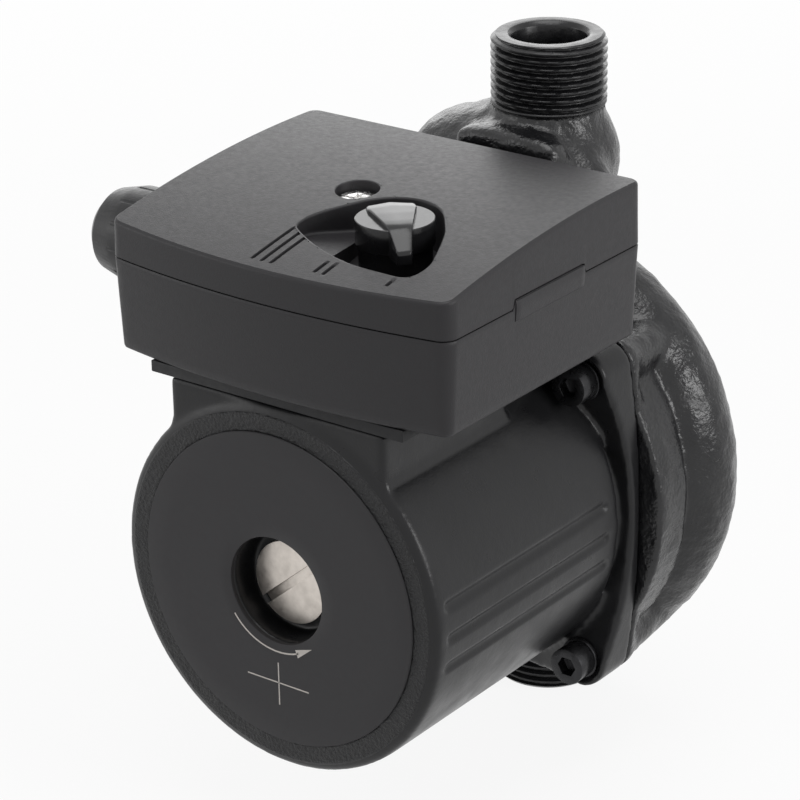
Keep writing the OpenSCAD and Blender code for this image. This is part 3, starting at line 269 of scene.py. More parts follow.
def from_faces(name, points, faces, sharp=40):
    """A mesh from points in millimetres and lists of corners, merged and smooth but for sharp edges."""
    mesh = bpy.data.meshes.new(name)
    mesh.from_pydata((points / 1000).tolist(), [], faces)
    shape = bmesh.new()
    shape.from_mesh(mesh)
    bmesh.ops.remove_doubles(shape, verts=shape.verts, dist=1e-6)
    bmesh.ops.dissolve_degenerate(shape, edges=shape.edges, dist=1e-7)
    shape.to_mesh(mesh)
    shape.free()
    mesh.shade_smooth()
    mesh.set_sharp_from_angle(angle=math.radians(sharp))
    return mesh


def thread(name, up):
    """One port's end as a closed ring: along the profile u it runs up the bore, over the
    face, down the thread and back under the casting; round the port v it turns by 2 pi.
    The thread's radius falls from the crest by the depth times a flat-topped V of the
    distance to the helix, and fades out over the last turn."""
    v = np.linspace(0, 2 * np.pi, 160, endpoint=False)
    z = np.linspace(0.0, THREAD_LENGTH + 0.9, 190)
    turn = (z[:, None] / THREAD_PITCH - v[None] / (2 * np.pi)) % 1.0
    groove = 1 - np.clip((np.abs(turn - 0.5) * 2 - 0.16) / 0.62, 0, 1)
    fade = step_up(THREAD_LENGTH - z, 0.0, 1.6)[:, None]
    crest = THREAD_R - (THREAD_R - 12.45) * (1 - step_up(THREAD_LENGTH + 0.5 - z, 0.0, 0.8))[:, None]
    outer = crest - THREAD_DEPTH * groove * fade
    outer = np.minimum(outer, THREAD_R - THREAD_DEPTH + 0.05 + z[:, None])
    before = np.array([(8.55, 17.5), (8.55, 8.0), (8.5, 1.1), (8.6, 0.9), (9.3, 0.12), (9.5, 0.0),
                       (10.8, 0.0), (12.0, 0.0)])
    after = np.array([(11.6, THREAD_LENGTH + 1.3), (10.0, THREAD_LENGTH + 1.6)])
    r = np.concatenate([np.repeat(before[:, :1], 160, 1), outer, np.repeat(after[:, :1], 160, 1)])
    h = np.concatenate([before[:, 1], z, after[:, 1]])[:, None] * np.ones_like(r)
    h = PORT_LENGTH - h if up else h
    angle = v[None] if up else -v[None]
    grid = np.stack([r * np.cos(angle), r * np.sin(angle), h], -1)
    return skin(name, grid, True, True, flip=True, sharp=50)


thread_paint = finish("gloss_black_thread", (0.009, 0.009, 0.010), 0.24, specular=0.4)
relief(thread_paint, (noise(thread_paint, 500, 3), 0.00008))
ramp(thread_paint, noise(thread_paint, 300, 3), "Roughness", 0.18, 0.36)
put("outlet_thread_cut", thread("outlet_thread_cut", True), "casing", thread_paint, "cast_black")
put("inlet_thread_cut", thread("inlet_thread_cut", False), "casing", thread_paint, "cast_black")

# ---------------------------------------------------------------------------------
# Motor shell. A die casting in aluminium with satin black paint: round body, neck for
# the terminal box, square flange. Its front ring is left rough; four screws hold it.
AXIS_Z, SHELL_R, FACE_Y = 62.2, 42.2, -102.3
SHELL_VOXEL, SHELL_SHARE = 0.00062, 0.6

shell = worked(merged("motor_shell", "motor_shell_casting"),
               ("REMESH", {"mode": "VOXEL", "voxel_size": SHELL_VOXEL}))
points, pairs = read(shell)
points = relaxed(points, pairs, 7, np.full(len(points), 0.5))
# the lathe-true surfaces come back to their size: round body, front face, joint face
away = np.hypot(points[:, 0], points[:, 2] - AXIS_Z)
body_wall = (1 - step_up(np.abs(away - SHELL_R), 0.12, 0.4)) * step_up(-points[:, 1], 35.2, 36.4) \
    * (1 - step_up(-points[:, 1], 99.2, 100.2))
true = 1 + body_wall * (SHELL_R / np.maximum(away, 1) - 1)
points[:, 0] *= true
points[:, 2] = AXIS_Z + (points[:, 2] - AXIS_Z) * true
front = (1 - step_up(np.abs(points[:, 1] - FACE_Y), 0.1, 0.4)) * (1 - step_up(away, 39.2, 40.2))
points[:, 1] += front * (FACE_Y - points[:, 1])
write(shell, points)
shell = worked(shell, ("DECIMATE", {"ratio": SHELL_SHARE}))
shell.shade_smooth()

satin_black = finish("satin_black_shell", (0.011, 0.011, 0.012), 0.34, specular=0.3)
nodes, links = satin_black.node_tree.nodes, satin_black.node_tree.links
place = nodes.new("ShaderNodeTexCoord")
parts = nodes.new("ShaderNodeSeparateXYZ")
links.new(place.outputs["Object"], parts.inputs["Vector"])
rough_front = nodes.new("ShaderNodeMapRange")
for key, value in (("From Min", -0.10215), ("From Max", -0.10225), ("To Min", 0), ("To Max", 1)):
    rough_front.inputs[key].default_value = value
links.new(parts.outputs["Y"], rough_front.inputs["Value"])
grit = nodes.new("ShaderNodeMath")
grit.operation = "MULTIPLY"
links.new(noise(satin_black, 1500, 5), grit.inputs[0])
links.new(rough_front.outputs["Result"], grit.inputs[1])
relief(satin_black, (noise(satin_black, 420, 3), 0.00006), (noise(satin_black, 2600, 2), 0.00003),
       (grit.outputs["Value"], 0.0006))
ramp(satin_black, noise(satin_black, 130, 4), "Roughness", 0.27, 0.4)
put("motor_shell_casting", shell, "casing", satin_black, "shell_black", "motor_shell")

# ---------------------------------------------------------------------------------
# Nameplate. A round plate of sheet metal with a matte charcoal film, glued in a shallow
# seat of the motor's face, with a hole for the vent plug. Its print is plain: an arrow
# for the turning direction and the rules of an empty table.
PLATE_R, PLATE_HOLE_R, PLATE_FRONT = 36.0, 12.3, 102.7


def face_point(r, angle, reach):
    """Points on the motor's axis frame: radius, angle from +X and distance to the front."""
    return np.stack(np.broadcast_arrays(r * np.cos(angle), -reach, AXIS_Z + r * np.sin(angle)), -1)


def lathe(name, profile, count=128, sharp=35, place=face_point):
    """Turns a profile of (radius, reach) round the motor's axis; a radius of zero closes it."""
    v = np.linspace(0, 2 * np.pi, count, endpoint=False)[None]
    profile = np.array(profile, float)
    return skin(name, place(profile[:, :1] + 0 * v, v, profile[:, 1:] + 0 * v), False, True, sharp=sharp)


plate = lathe("nameplate_disc", [
    (PLATE_HOLE_R, PLATE_FRONT - 1), (PLATE_HOLE_R, PLATE_FRONT - 0.25),
    (PLATE_HOLE_R + 0.08, PLATE_FRONT - 0.07), (PLATE_HOLE_R + 0.25, PLATE_FRONT),
    (16, PLATE_FRONT), (22, PLATE_FRONT), (30, PLATE_FRONT),
    (PLATE_R - 0.45, PLATE_FRONT), (PLATE_R - 0.18, PLATE_FRONT - 0.06), (PLATE_R, PLATE_FRONT - 0.3),
    (PLATE_R, PLATE_FRONT - 1), (24, PLATE_FRONT - 1), (PLATE_HOLE_R, PLATE_FRONT - 1)], 192)
film = finish("charcoal_film", (0.026, 0.025, 0.027), 0.46, specular=0.3)
relief(film, (noise(film, 4200, 2), 0.000012))
ramp(film, noise(film, 900, 2), "Roughness", 0.42, 0.5)
put("nameplate_disc", plate, "casing", film, "plate", "nameplate")


def slab(name, top, low, sharp):
    """A closed block between two loops of as many points, each closed by one face."""
    n = len(top)
    k = np.arange(n)
    sides = np.stack([k, k + n, (k + 1) % n + n, (k + 1) % n], 1).tolist()
    return from_faces(name, np.concatenate([top, low]), [k.tolist(), (k + n).tolist()[::-1]] + sides, sharp)


PRINT_RISE = 0.03


def printed(name, outline):
    """A thin print on the plate: a closed outline in (right, up) from the axis, which
    stands out of the plate by PRINT_RISE and goes as deep into it."""
    outline = np.array(outline, float)
    out = np.full(len(outline), -PLATE_FRONT - PRINT_RISE)
    front = np.stack([outline[:, 0], out, AXIS_Z + outline[:, 1]], 1)
    return slab(name, front + (0, 2 * PRINT_RISE, 0), front, 20)


white_print = finish("off_white_print", (0.62, 0.58, 0.54), 0.5)
relief(white_print, (noise(white_print, 3000, 2), 0.00001))
arc = np.radians(np.linspace(216, 293, 40))
arrow_line = np.concatenate([np.stack([14.6 * np.cos(arc), 14.6 * np.sin(arc)], 1),
                             np.stack([14.25 * np.cos(arc[::-1]), 14.25 * np.sin(arc[::-1])], 1)])
tip, root = math.radians(310), math.radians(291)
arrow_head = [(15.4 * math.cos(root), 15.4 * math.sin(root)), (14.6 * math.cos(tip), 14.6 * math.sin(tip)),
              (13.5 * math.cos(root), 13.5 * math.sin(root))]
prints = {"print_arrow_line": arrow_line, "print_arrow_head": arrow_head,
          "print_rule_across": [(-8.6, -22.1), (8.2, -22.1), (8.2, -21.8), (-8.6, -21.8)],
          "print_rule_down": [(-0.15, -27.3), (0.15, -27.3), (0.15, -17.1), (-0.15, -17.1)]}
for name, outline in prints.items():
    put(name, printed(name, outline), "casing", white_print, "plate")

# ---------------------------------------------------------------------------------
# Vent plug and its ring. A turned brass plug with nickel plating, screwed into the
# motor's boss behind the plate's hole; a wide screwdriver slot crosses its face.


def bevelled(node, name, width, angle=30, segments=2):
    """A merged copy of a node with its sharp edges rounded by a width in millimetres."""
    mesh = merged(node, name)
    shape = bmesh.new()
    shape.from_mesh(mesh)
    bmesh.ops.dissolve_limit(shape, angle_limit=math.radians(0.6), verts=shape.verts, edges=shape.edges)
    shape.to_mesh(mesh)
    shape.free()
    mesh = worked(mesh, ("BEVEL", {"width": width / 1000, "segments": segments, "limit_method": "ANGLE",
                                   "angle_limit": math.radians(angle), "use_clamp_overlap": True}))
    mesh.shade_smooth()
    mesh.set_sharp_from_angle(angle=math.radians(35))
    return mesh


nickel = finish("brushed_nickel", (0.60, 0.55, 0.50), 0.34, metallic=1.0)
ramp(nickel, noise(nickel, 2400, 4), "Roughness", 0.28, 0.46)
ramp(nickel, noise(nickel, 350, 4), "Base Color", (0.50, 0.46, 0.42), (0.66, 0.61, 0.56))
relief(nickel, (noise(nickel, 5200, 3), 0.00002))
put("vent_plug_turned", bevelled("vent_plug", "vent_plug_turned", 0.18), "vent_screw", nickel, "nickel",
    "vent_plug")

# ---------------------------------------------------------------------------------
# Housing screws and washers. Four blackened socket screws, each on a flat washer in a
# spot face of the motor's flange.
black_steel = finish("blackened_steel", (0.030, 0.030, 0.032), 0.3, metallic=0.7)
relief(black_steel, (noise(black_steel, 1800, 3), 0.00003))
ramp(black_steel, noise(black_steel, 700, 3), "Roughness", 0.22, 0.42)
put("housing_screws_turned", bevelled("housing_screws", "housing_screws_turned", 0.35), "casing",
    black_steel, "dark_steel", "housing_screws")
put("screw_washers_flat", bevelled("screw_washers", "screw_washers_flat", 0.12), "casing",
    black_steel, "dark_steel", "screw_washers")

# ---------------------------------------------------------------------------------
# Box gasket. A black moulded foot between the motor's neck and the terminal box; it
# stands out at both sides as a flat lip.
moulded_black = finish("moulded_black", (0.011, 0.011, 0.012), 0.5, specular=0.3)
relief(moulded_black, (noise(moulded_black, 3000, 2), 0.00002))
ramp(moulded_black, noise(moulded_black, 600, 3), "Roughness", 0.42, 0.58)
put("box_foot", bevelled("box_gasket", "box_foot", 0.4), "casing", moulded_black, "rubber", "box_gasket")

# ---------------------------------------------------------------------------------
# Terminal box. An injection moulding in charcoal plastic, a little narrower at its
# floor so that it leaves its mould, held on the neck by two screws from inside.
BOX_HALF, BOX_BACK, BOX_FRONT, BOX_BOW, BOX_FLOOR, SPLIT_Z = 44.6, -29.6, -100.2, 4.3, 107.1, 128.2
CORNER_R = 3.0
BOW_R = (BOX_HALF ** 2 + BOX_BOW ** 2) / (2 * BOX_BOW)


def plan_distance(x, y):
    """How far a point lies outside the box's plan: a rounded intersection of the sides, the
    straight back and the bowed front."""
    side = np.abs(x) - BOX_HALF + CORNER_R
    bow = np.hypot(x, y - (BOX_FRONT - BOX_BOW + BOW_R)) - BOW_R
    end = np.maximum(y - BOX_BACK, bow) + CORNER_R
    return np.hypot(np.maximum(side, 0), np.maximum(end, 0)) + np.minimum(np.maximum(side, end), 0) - CORNER_R


def plan_pull(x, y, inset, only_outside=False):
    """Moves points along the plan's own normals onto the line at an inset from its edge."""
    for _ in range(6):
        d = plan_distance(x, y)
        gx = (plan_distance(x + 0.01, y) - plan_distance(x - 0.01, y)) / 0.02
        gy = (plan_distance(x, y + 0.01) - plan_distance(x, y - 0.01)) / 0.02
        norm = np.maximum(np.hypot(gx, gy), 0.5)
        move = d + inset
        move = np.where(only_outside & (move < 0), 0, move)
        x, y = x - move * gx / norm ** 2, y - move * gy / norm ** 2
    return x, y


def plan_loop(inset):
    """The plan's line at an inset, as points with even steps, more of them round the corners."""
    side = np.linspace(0, 1, 60, endpoint=False)
    r = CORNER_R - 0.2
    turn = np.radians(np.linspace(0, 90, 12, endpoint=False))
    xs, ys = [], []
    cx, back, front = BOX_HALF - r, BOX_BACK - r, BOX_FRONT + r + 1.0
    for sx, cy, a0, toward in ((1, back, 0, (-1, back)), (-1, back, 90, (-1, front)),
                               (-1, front, 180, (1, front)), (1, front, 270, (1, back))):
        a = math.radians(a0) + turn
        xs.append(sx * cx + r * np.cos(a))
        ys.append(cy + r * np.sin(a))
        out_x, out_y = r * math.cos(math.radians(a0 + 90)), r * math.sin(math.radians(a0 + 90))
        ex, ey = sx * cx + out_x, cy + out_y
        nx, ny = toward[0] * cx + out_x, toward[1] + out_y
        xs.append(ex + (nx - ex) * side)
        ys.append(ey + (ny - ey) * side)
    x, y = np.concatenate(xs), np.concatenate(ys)
    return plan_pull(x, y, inset)


def seam_z(x, y):
    """Height of the joint between box and lid: level, but 2 mm higher at the latch on the right."""
    tab = step_up(y, -78.3, -77.6) * (1 - step_up(y, -52.4, -51.7)) * (x > BOX_HALF - 2)
    return SPLIT_Z + 2.0 * tab


rings = []
for inset, z in ((2.2, BOX_FLOOR), (1.6, BOX_FLOOR + 0.1), (1.2, BOX_FLOOR + 0.35), (1.0, BOX_FLOOR + 0.8),
                 (0.9, BOX_FLOOR + 2.5), (0.7, BOX_FLOOR + 7), (0.45, BOX_FLOOR + 12), (0.25, BOX_FLOOR + 17),
                 (0.08, SPLIT_Z - 1.2), (0.04, SPLIT_Z - 0.35), (0.22, SPLIT_Z - 0.12), (0.6, SPLIT_Z - 0.1),
                 (2.5, SPLIT_Z - 0.1), (2.55, BOX_FLOOR + 10), (3.2, BOX_FLOOR + 2.5)):
    x, y = plan_loop(inset)
    lift = (seam_z(x, y) - SPLIT_Z) * (z > SPLIT_Z - 0.9)
    rings.append(np.stack([x, y, z + lift], -1))
box_shell = skin("terminal_box_moulding", np.array(rings), False, True, sharp=42, caps=(0, -1))

charcoal = finish("charcoal_moulding", (0.022, 0.021, 0.023), 0.42, specular=0.3)
relief(charcoal, (noise(charcoal, 3400, 2), 0.00004), (noise(charcoal, 1500, 2), 0.00002))
ramp(charcoal, noise(charcoal, 800, 3), "Roughness", 0.38, 0.47)
put("terminal_box_moulding", box_shell, "casing", charcoal, "case_plastic", "terminal_box")

# the latch's wedge stands on the box's right wall below the raised stretch of the joint
WEDGE_FRONT, WEDGE_LENGTH = -77.3, 25.0
along = np.linspace(0, 1, 30)[:, None]
wedge = np.array([(0.0, -2.9), (0.28, -2.6), (0.42, -0.4), (0.42, 1.2), (0.2, 1.75), (0.0, 1.8),
                  (-0.8, 0)])[None]
ends = 1 - 0.25 * (1 - step_up(np.minimum(along, 1 - along), 0, 0.03))
wall_x = BOX_HALF - 0.08 - 0.033 * np.maximum(0, -wedge[..., 1])
wedge_grid = np.stack([wall_x + wedge[..., 0] * ends - 0.35 * (1 - ends),
                       WEDGE_FRONT + WEDGE_LENGTH * along + 0 * wedge[..., 0],
                       SPLIT_Z + wedge[..., 1] + 0 * along], -1)
put("latch_wedge", skin("latch_wedge", wedge_grid, False, True, sharp=30, caps=(0, -1), flip=True), "casing",
    charcoal, "case_plastic")

# ---------------------------------------------------------------------------------
# Lid. The same moulding, crowned and higher at the back, with a dish cut round the
# knob, a well for its screw and three engraved marks for the speeds.
EDGE_R, LID_GAP = 0.9, 0.12
LID_BACK, LID_RISE, LID_SLOPE, CROWN_R, CROWN_MID = 30.0, 14.0, 5.5 / 68.5, 320.0, 64.25
MARKS = ((-4.6, -100.9, -86.6), (-2.1, -101.0, -87.2), (0.3, -101.1, -88.2), (11.1, -100.4, -95.6),
         (13.3, -100.4, -95.6), (28.2, -99.0, -96.0))
KNOB_X, KNOB_Y = 14.5, -77.5
SCREW_X, SCREW_Y, WELL_R = -4.0, -66.1, 4.75
DISH = np.array([(-4.5, -86), (-5.0, -84.2), (-4.6, -80.4), (-1.9, -75), (1.7, -69.3),
                 (6.6, -65.6), (12.4, -64.5), (18.6, -67.0), (24.4, -73.8), (26.9, -78.2),
                 (29.6, -84.2), (31.1, -88.4), (30.9, -92.6), (28.9, -94.6), (23.5, -94.75),
                 (17.1, -94.5), (10.9, -93.3), (3.6, -90.7), (-1.0, -88.4), (-3.2, -87.1)])


def crown(y):
    """Height of the lid's top: a slope towards the front with an arc of 320 mm over it."""
    reach = -y
    arc = np.sqrt(CROWN_R ** 2 - (reach - CROWN_MID) ** 2)
    return (SPLIT_Z + LID_RISE - (reach - LID_BACK) * LID_SLOPE
            + arc - math.sqrt(CROWN_R ** 2 - (CROWN_MID - LID_BACK) ** 2))


def closed_curve(knots, count):
    """A smooth closed line through the knots: a periodic cubic between each pair, with even steps."""
    p = np.asarray(knots, float)
    before, after, next2 = np.roll(p, 1, 0), np.roll(p, -1, 0), np.roll(p, -2, 0)
    t = np.linspace(0, 1, 40, endpoint=False)[None, :, None]
    a, b, c, d = before[:, None], p[:, None], after[:, None], next2[:, None]
    square, cube = 2 * a - 5 * b + 4 * c - d, 3 * b - a - 3 * c + d
    line = 0.5 * (2 * b + (c - a) * t + square * t ** 2 + cube * t ** 3)
    line = line.reshape(-1, 2)
    line = np.concatenate([line, line[:1]])
    run = np.concatenate([[0], np.cumsum(np.linalg.norm(np.diff(line, axis=0), axis=1))])
    even = np.linspace(0, run[-1], count, endpoint=False)
    return np.stack([np.interp(even, run, line[:, k]) for k in (0, 1)], 1)


def grown(loop, by):
    """A closed line moved outwards along its own normals."""
    tangent = np.roll(loop, -1, 0) - np.roll(loop, 1, 0)
    normal = np.stack([tangent[:, 1], -tangent[:, 0]], 1)
    normal /= np.linalg.norm(normal, axis=1)[:, None]
    area = 0.5 * np.sum(loop[:, 0] * np.roll(loop[:, 1], -1) - np.roll(loop[:, 0], -1) * loop[:, 1])
    return loop + by * normal * np.sign(area)


def inside(x, y, loop):
    """True for points inside a closed line, by counting the sides that a ray crosses."""
    x0, y0 = loop[:, 0], loop[:, 1]
    x1, y1 = np.roll(x0, -1), np.roll(y0, -1)
    crosses = (y0 > y[..., None]) != (y1 > y[..., None])
    at = x0 + (y[..., None] - y0) * (x1 - x0) / np.where(y1 == y0, 1e-9, y1 - y0)
    return (crosses & (x[..., None] < at)).sum(-1) % 2 == 1


dish_edge = closed_curve(DISH, 260)
turn = np.linspace(0, 2 * np.pi, 96, endpoint=False)
well_edge = np.stack([SCREW_X + WELL_R * np.cos(turn), SCREW_Y + WELL_R * np.sin(turn)], 1)

# top grid: columns at even steps and at the marks' edges, rows that follow the bowed front
columns = np.linspace(-1, 1, 177) * (BOX_HALF - EDGE_R)
extra = np.concatenate([[m[0] - 0.5, m[0] - 0.3, m[0], m[0] + 0.3, m[0] + 0.5] for m in MARKS])
columns = columns[np.abs(columns[:, None] - extra[None]).min(1) > 0.16]
columns = np.sort(np.concatenate([columns, extra]))
rows = np.linspace(0, 1, 150)
front_y = BOX_FRONT - BOX_BOW + BOW_R - np.sqrt((BOW_R - EDGE_R) ** 2 - columns ** 2)
gx = np.repeat(columns[:, None], len(rows), 1)
gy = (BOX_BACK - EDGE_R) + rows[None] * (front_y[:, None] - (BOX_BACK - EDGE_R))
gx, gy = plan_pull(gx, gy, EDGE_R, only_outside=True)
keep = np.ones(gx.shape, bool)
for loop in (grown(dish_edge, 0.45), grown(well_edge, 0.35)):
    near = (gx > loop[:, 0].min() - 2) & (gx < loop[:, 0].max() + 2) & (gy > loop[:, 1].min() - 2) \
        & (gy < loop[:, 1].max() + 2)
    px, py = gx[near], gy[near]
    dense = np.concatenate([loop + (np.roll(loop, -1, 0) - loop) * s for s in (0, 0.25, 0.5, 0.75)])
    gap = np.hypot(px[:, None] - dense[None, :, 0], py[:, None] - dense[None, :, 1])
    nearest, closest = gap.argmin(1), gap.min(1)
    snap = closest < 0.31
    px = np.where(snap, dense[nearest, 0], px)
    py = np.where(snap, dense[nearest, 1], py)
    within = inside(px, py, loop) & ~snap
    gx[near], gy[near] = px, py
    flags = keep[near]
    flags[within] = False
    keep[near] = flags
gz = crown(gy)
for x0, y0, y1 in MARKS:
    across = 1 - step_up(np.abs(gx - x0), 0.28, 0.5)
    ends = step_up(gy, y0 - 0.05, y0 + 0.45) * (1 - step_up(gy, y1 - 0.45, y1 + 0.05))
    gz = gz - 0.6 * across * ends
index = np.arange(gx.size).reshape(gx.shape)
quads = np.stack([index[:-1, :-1], index[:-1, 1:], index[1:, 1:], index[1:, :-1]], -1).reshape(-1, 4)
shown = keep.ravel()[quads].all(1)
mid_x, mid_y = gx.ravel()[quads].mean(1), gy.ravel()[quads].mean(1)
for loop in (grown(dish_edge, 0.45), grown(well_edge, 0.35)):
    shown &= ~inside(mid_x, mid_y, loop)
quads = quads[shown][:, ::-1]
border = np.concatenate([index[:, 0], index[-1, 1:], index[-2::-1, -1], index[0, -2:0:-1]])
bx, by = gx.ravel()[border], gy.ravel()[border]
lid_points = [np.stack([gx.ravel(), gy.ravel(), gz.ravel()], 1)]
lid_faces = quads.tolist()
last, base = border, gx.size
turn_down = [(EDGE_R * (1 - math.sin(a)), -EDGE_R * (1 - math.cos(a)))
             for a in np.radians((18, 36, 54, 72, 90))]
for inset, drop, level in [(i, d, None) for i, d in turn_down] + [
        (0.10, -0.45, 2), (0.05, 0.5, 1), (0.04, 0.2, 1), (0.2, 0.0, 1), (0.6, 0.0, 1), (2.5, 0.0, 1),
        (2.6, 3.0, 1)]:
    rx, ry = plan_pull(bx, by, inset + (0.25 if level is None else 0.0))
    seam = seam_z(rx, ry) + LID_GAP
    height = crown(by)
    if level is None:
        rz = height + drop
    elif level == 2:
        rz = seam + (height - EDGE_R - seam) * 0.5
        rx, ry = plan_pull(bx, by, 0.16)
    else:
        rz = seam + drop
    lid_points.append(np.stack([rx, ry, rz], 1))
    ring = base + np.arange(len(border))
    lid_faces += np.stack([last, np.roll(last, -1), np.roll(ring, -1), ring], 1).tolist()
    last, base = ring, base + len(border)
lid_faces.append(last.tolist())
lid_mesh = from_faces("terminal_lid_moulding", np.concatenate(lid_points), lid_faces, 38)
put("terminal_lid_moulding", lid_mesh, "casing", charcoal, "case_plastic", "terminal_lid")

# dish: its wall turns down from the lid's top with a small radius and falls to a floor
# that slopes from the tip on the left, and to the deep pocket round the knob's stem
POCKET_Z = SPLIT_Z + 1.5


def dish_floor(x, y):
    """Height of the left floor: a plane that falls by 6 percent to the right and 10 to the back."""
    return 134.9 - 0.06 * (x + 2) - 0.1 * (y + 77)


def floor_edge(y):
    """Where the left floor ends: a straight line that leans to the right towards the front."""
    return 4.6 - 0.24 * (y + 77.8)


rows_down = []
edge_top = crown(dish_edge[:, 1])
deep = step_up(dish_edge[:, 0] - floor_edge(dish_edge[:, 1]), -0.3, 0.3)
bottom = (1 - deep) * dish_floor(dish_edge[:, 0], dish_edge[:, 1]) + deep * POCKET_Z
for out, drop in ((0.47, -0.004), (0.30, -0.03), (0.13, -0.12), (0.03, -0.27), (0.0, -0.45)):
    loop = grown(dish_edge, out)
    rows_down.append(np.stack([loop[:, 0], loop[:, 1], crown(loop[:, 1]) + drop], 1))
for share in np.linspace(0.08, 1, 9):
    loop = grown(dish_edge, -0.5 * share)
    height = (edge_top - 0.45) * (1 - share) + (bottom + 0.8) * share
    rows_down.append(np.stack([loop[:, 0], loop[:, 1], height], 1))
for inset, rise in ((0.56, 0.5), (0.72, 0.24), (1.0, 0.06), (1.35, 0.0)):
    loop = grown(dish_edge, -inset)
    rows_down.append(np.stack([loop[:, 0], loop[:, 1], bottom + rise], 1))
dish_wall = skin("dish_wall", np.array(rows_down), False, True, sharp=30)
put("dish_wall", dish_wall, "casing", charcoal, "case_plastic")

low_loop = grown(dish_edge, -1.25)
left = low_loop[low_loop[:, 0] < floor_edge(low_loop[:, 1])]
start = int(np.argmax(np.linalg.norm(np.roll(left, -1, 0) - left, axis=1))) + 1
rim = np.roll(left, -start, 0)
top_rim = np.column_stack([rim, dish_floor(rim[:, 0], rim[:, 1])])
low_rim = np.column_stack([rim, np.full(len(rim), POCKET_Z)])
put("dish_floor", slab("dish_floor", top_rim, low_rim, 30), "casing", charcoal, "case_plastic")
# painted shade: the pocket's floor is part of the lid's charcoal moulding, but it takes the darker
# moulded_black finish so that the deep recess reads as shaded
pocket = np.column_stack([low_loop, np.full(len(low_loop), POCKET_Z)])
under = pocket - (0, 0, 1.4)
put("dish_pocket", slab("dish_pocket", pocket, under, 30), "casing", moulded_black, "case_plastic")

# well of the lid's screw, and the screw: a zinc-plated pan head with a cross slot
well_top = crown(SCREW_Y)
well_rows = [(WELL_R + 0.37, 0.0), (WELL_R + 0.2, 0.03), (WELL_R + 0.07, 0.12), (WELL_R, 0.35),
             (WELL_R - 0.08, 2.0), (WELL_R - 0.15, 3.9), (WELL_R - 0.4, 4.0), (2.3, 4.0), (2.2, 5.0)]
grid = []
for r, drop in well_rows:
    x, y = SCREW_X + r * np.cos(turn), SCREW_Y + r * np.sin(turn)
    level = crown(y) if drop < 1 else np.full_like(y, well_top)
    grid.append(np.stack([x, y, level - drop], 1))
put("lid_screw_well", skin("lid_screw_well", np.array(grid), False, True, sharp=35), "casing",
    charcoal, "case_plastic")
zinc = finish("zinc_plate", (0.78, 0.77, 0.76), 0.2, metallic=1.0)
ramp(zinc, noise(zinc, 1400, 3), "Roughness", 0.14, 0.32)
relief(zinc, (noise(zinc, 2500, 2), 0.00001))
put("lid_screw_head", bevelled("lid_screw", "lid_screw_head", 0.5, segments=3), "casing", zinc, "zinc",
    "lid_screw")

# ---------------------------------------------------------------------------------
# Selector knob. A glossy black moulding pushed on the switch's spindle: a flat disc with
# a skirt, a stem, and a pointer that is wide at the back and bends over the disc's edge.
KNOB_TOP, KNOB_R, KNOB_TURN = crown(KNOB_Y) + 2.0, 8.4, math.radians(-45)


def knob_point(r, angle, height):
    """Points round the knob's axis."""
    x, y = KNOB_X + r * np.cos(angle), KNOB_Y + r * np.sin(angle)
    return np.stack(np.broadcast_arrays(x, y, height + 0 * r), -1)


knob_profile = [(0, KNOB_TOP - 14.5), (7.5, KNOB_TOP - 14.5), (7.75, KNOB_TOP - 14.2), (7.75, KNOB_TOP - 5.8),
                (8.0, KNOB_TOP - 5.6), (8.3, KNOB_TOP - 5.45), (KNOB_R, KNOB_TOP - 5.1),
                (KNOB_R, KNOB_TOP - 0.3), (KNOB_R - 0.05, KNOB_TOP - 0.1), (KNOB_R - 0.2, KNOB_TOP),
                (6, KNOB_TOP), (3, KNOB_TOP), (0, KNOB_TOP)]
knob_black = finish("knob_black", (0.012, 0.012, 0.013), 0.2, specular=0.4)
relief(knob_black, (noise(knob_black, 2400, 2), 0.000006))
ramp(knob_black, noise(knob_black, 500, 3), "Roughness", 0.13, 0.22)
put("knob_disc", lathe("knob_disc", knob_profile, 96, 30, knob_point), "knob", knob_black,
    "knob_plastic", "selector_knob")

# pointer: along u it runs from an arc near the disc's back rim, over the top, to a nose that
# falls off in front of the rim; its section v is a slab with rounded upper edges
TAIL_R = 7.9
along = np.concatenate([[-7.9, -7.85], np.linspace(-7.7, 12.9, 60), [13.15, 13.25]])
level = np.interp(along, [-7.9, -7.7, -5, 0, 5, 7, 8.4, 9.5, 11, 12.6, 13.0, 13.25],
                  [0.35, 0.6, 0.85, 1.0, 1.0, 0.85, 0.35, -0.35, -1.4, -2.6, -2.95, -3.5])
half = np.interp(along, [-7.9, -5.5, 0, 4, 8.4, 12.6, 13.1, 13.25],
                 [5.25, 5.15, 4.3, 3.4, 2.4, 1.65, 1.45, 1.2])
even = np.ones(5) / 5
level[4:-4] = np.convolve(level, even, "same")[4:-4]
half[4:-4] = np.convolve(half, even, "same")[4:-4]
foot = np.where(along < 8.0, -0.05, -5.6)
edge = np.array([-1, -1, -0.955, -0.88, 0, 0.88, 0.955, 1, 1])
fall = np.array([0, -0.28, -0.07, 0, 0, 0, -0.07, -0.28, 0])
w_local = edge[None] * half[:, None]
bow = (TAIL_R - np.sqrt(TAIL_R ** 2 - w_local ** 2)) * step_up(2.0 - along, 0, 9.9)[:, None]
r_local = along[:, None] + bow
z_local = KNOB_TOP + level[:, None] + fall[None]
z_local[:, [0, -1]] = KNOB_TOP + foot[:, None]
ca, sa = math.cos(KNOB_TURN), math.sin(KNOB_TURN)
ribbon = np.stack([KNOB_X + r_local * ca - w_local * sa, KNOB_Y + r_local * sa + w_local * ca,
                   z_local], -1)
put("knob_pointer", skin("knob_pointer", ribbon, False, True, sharp=35, caps=(0, -1), flip=True), "knob",
    knob_black, "knob_plastic")

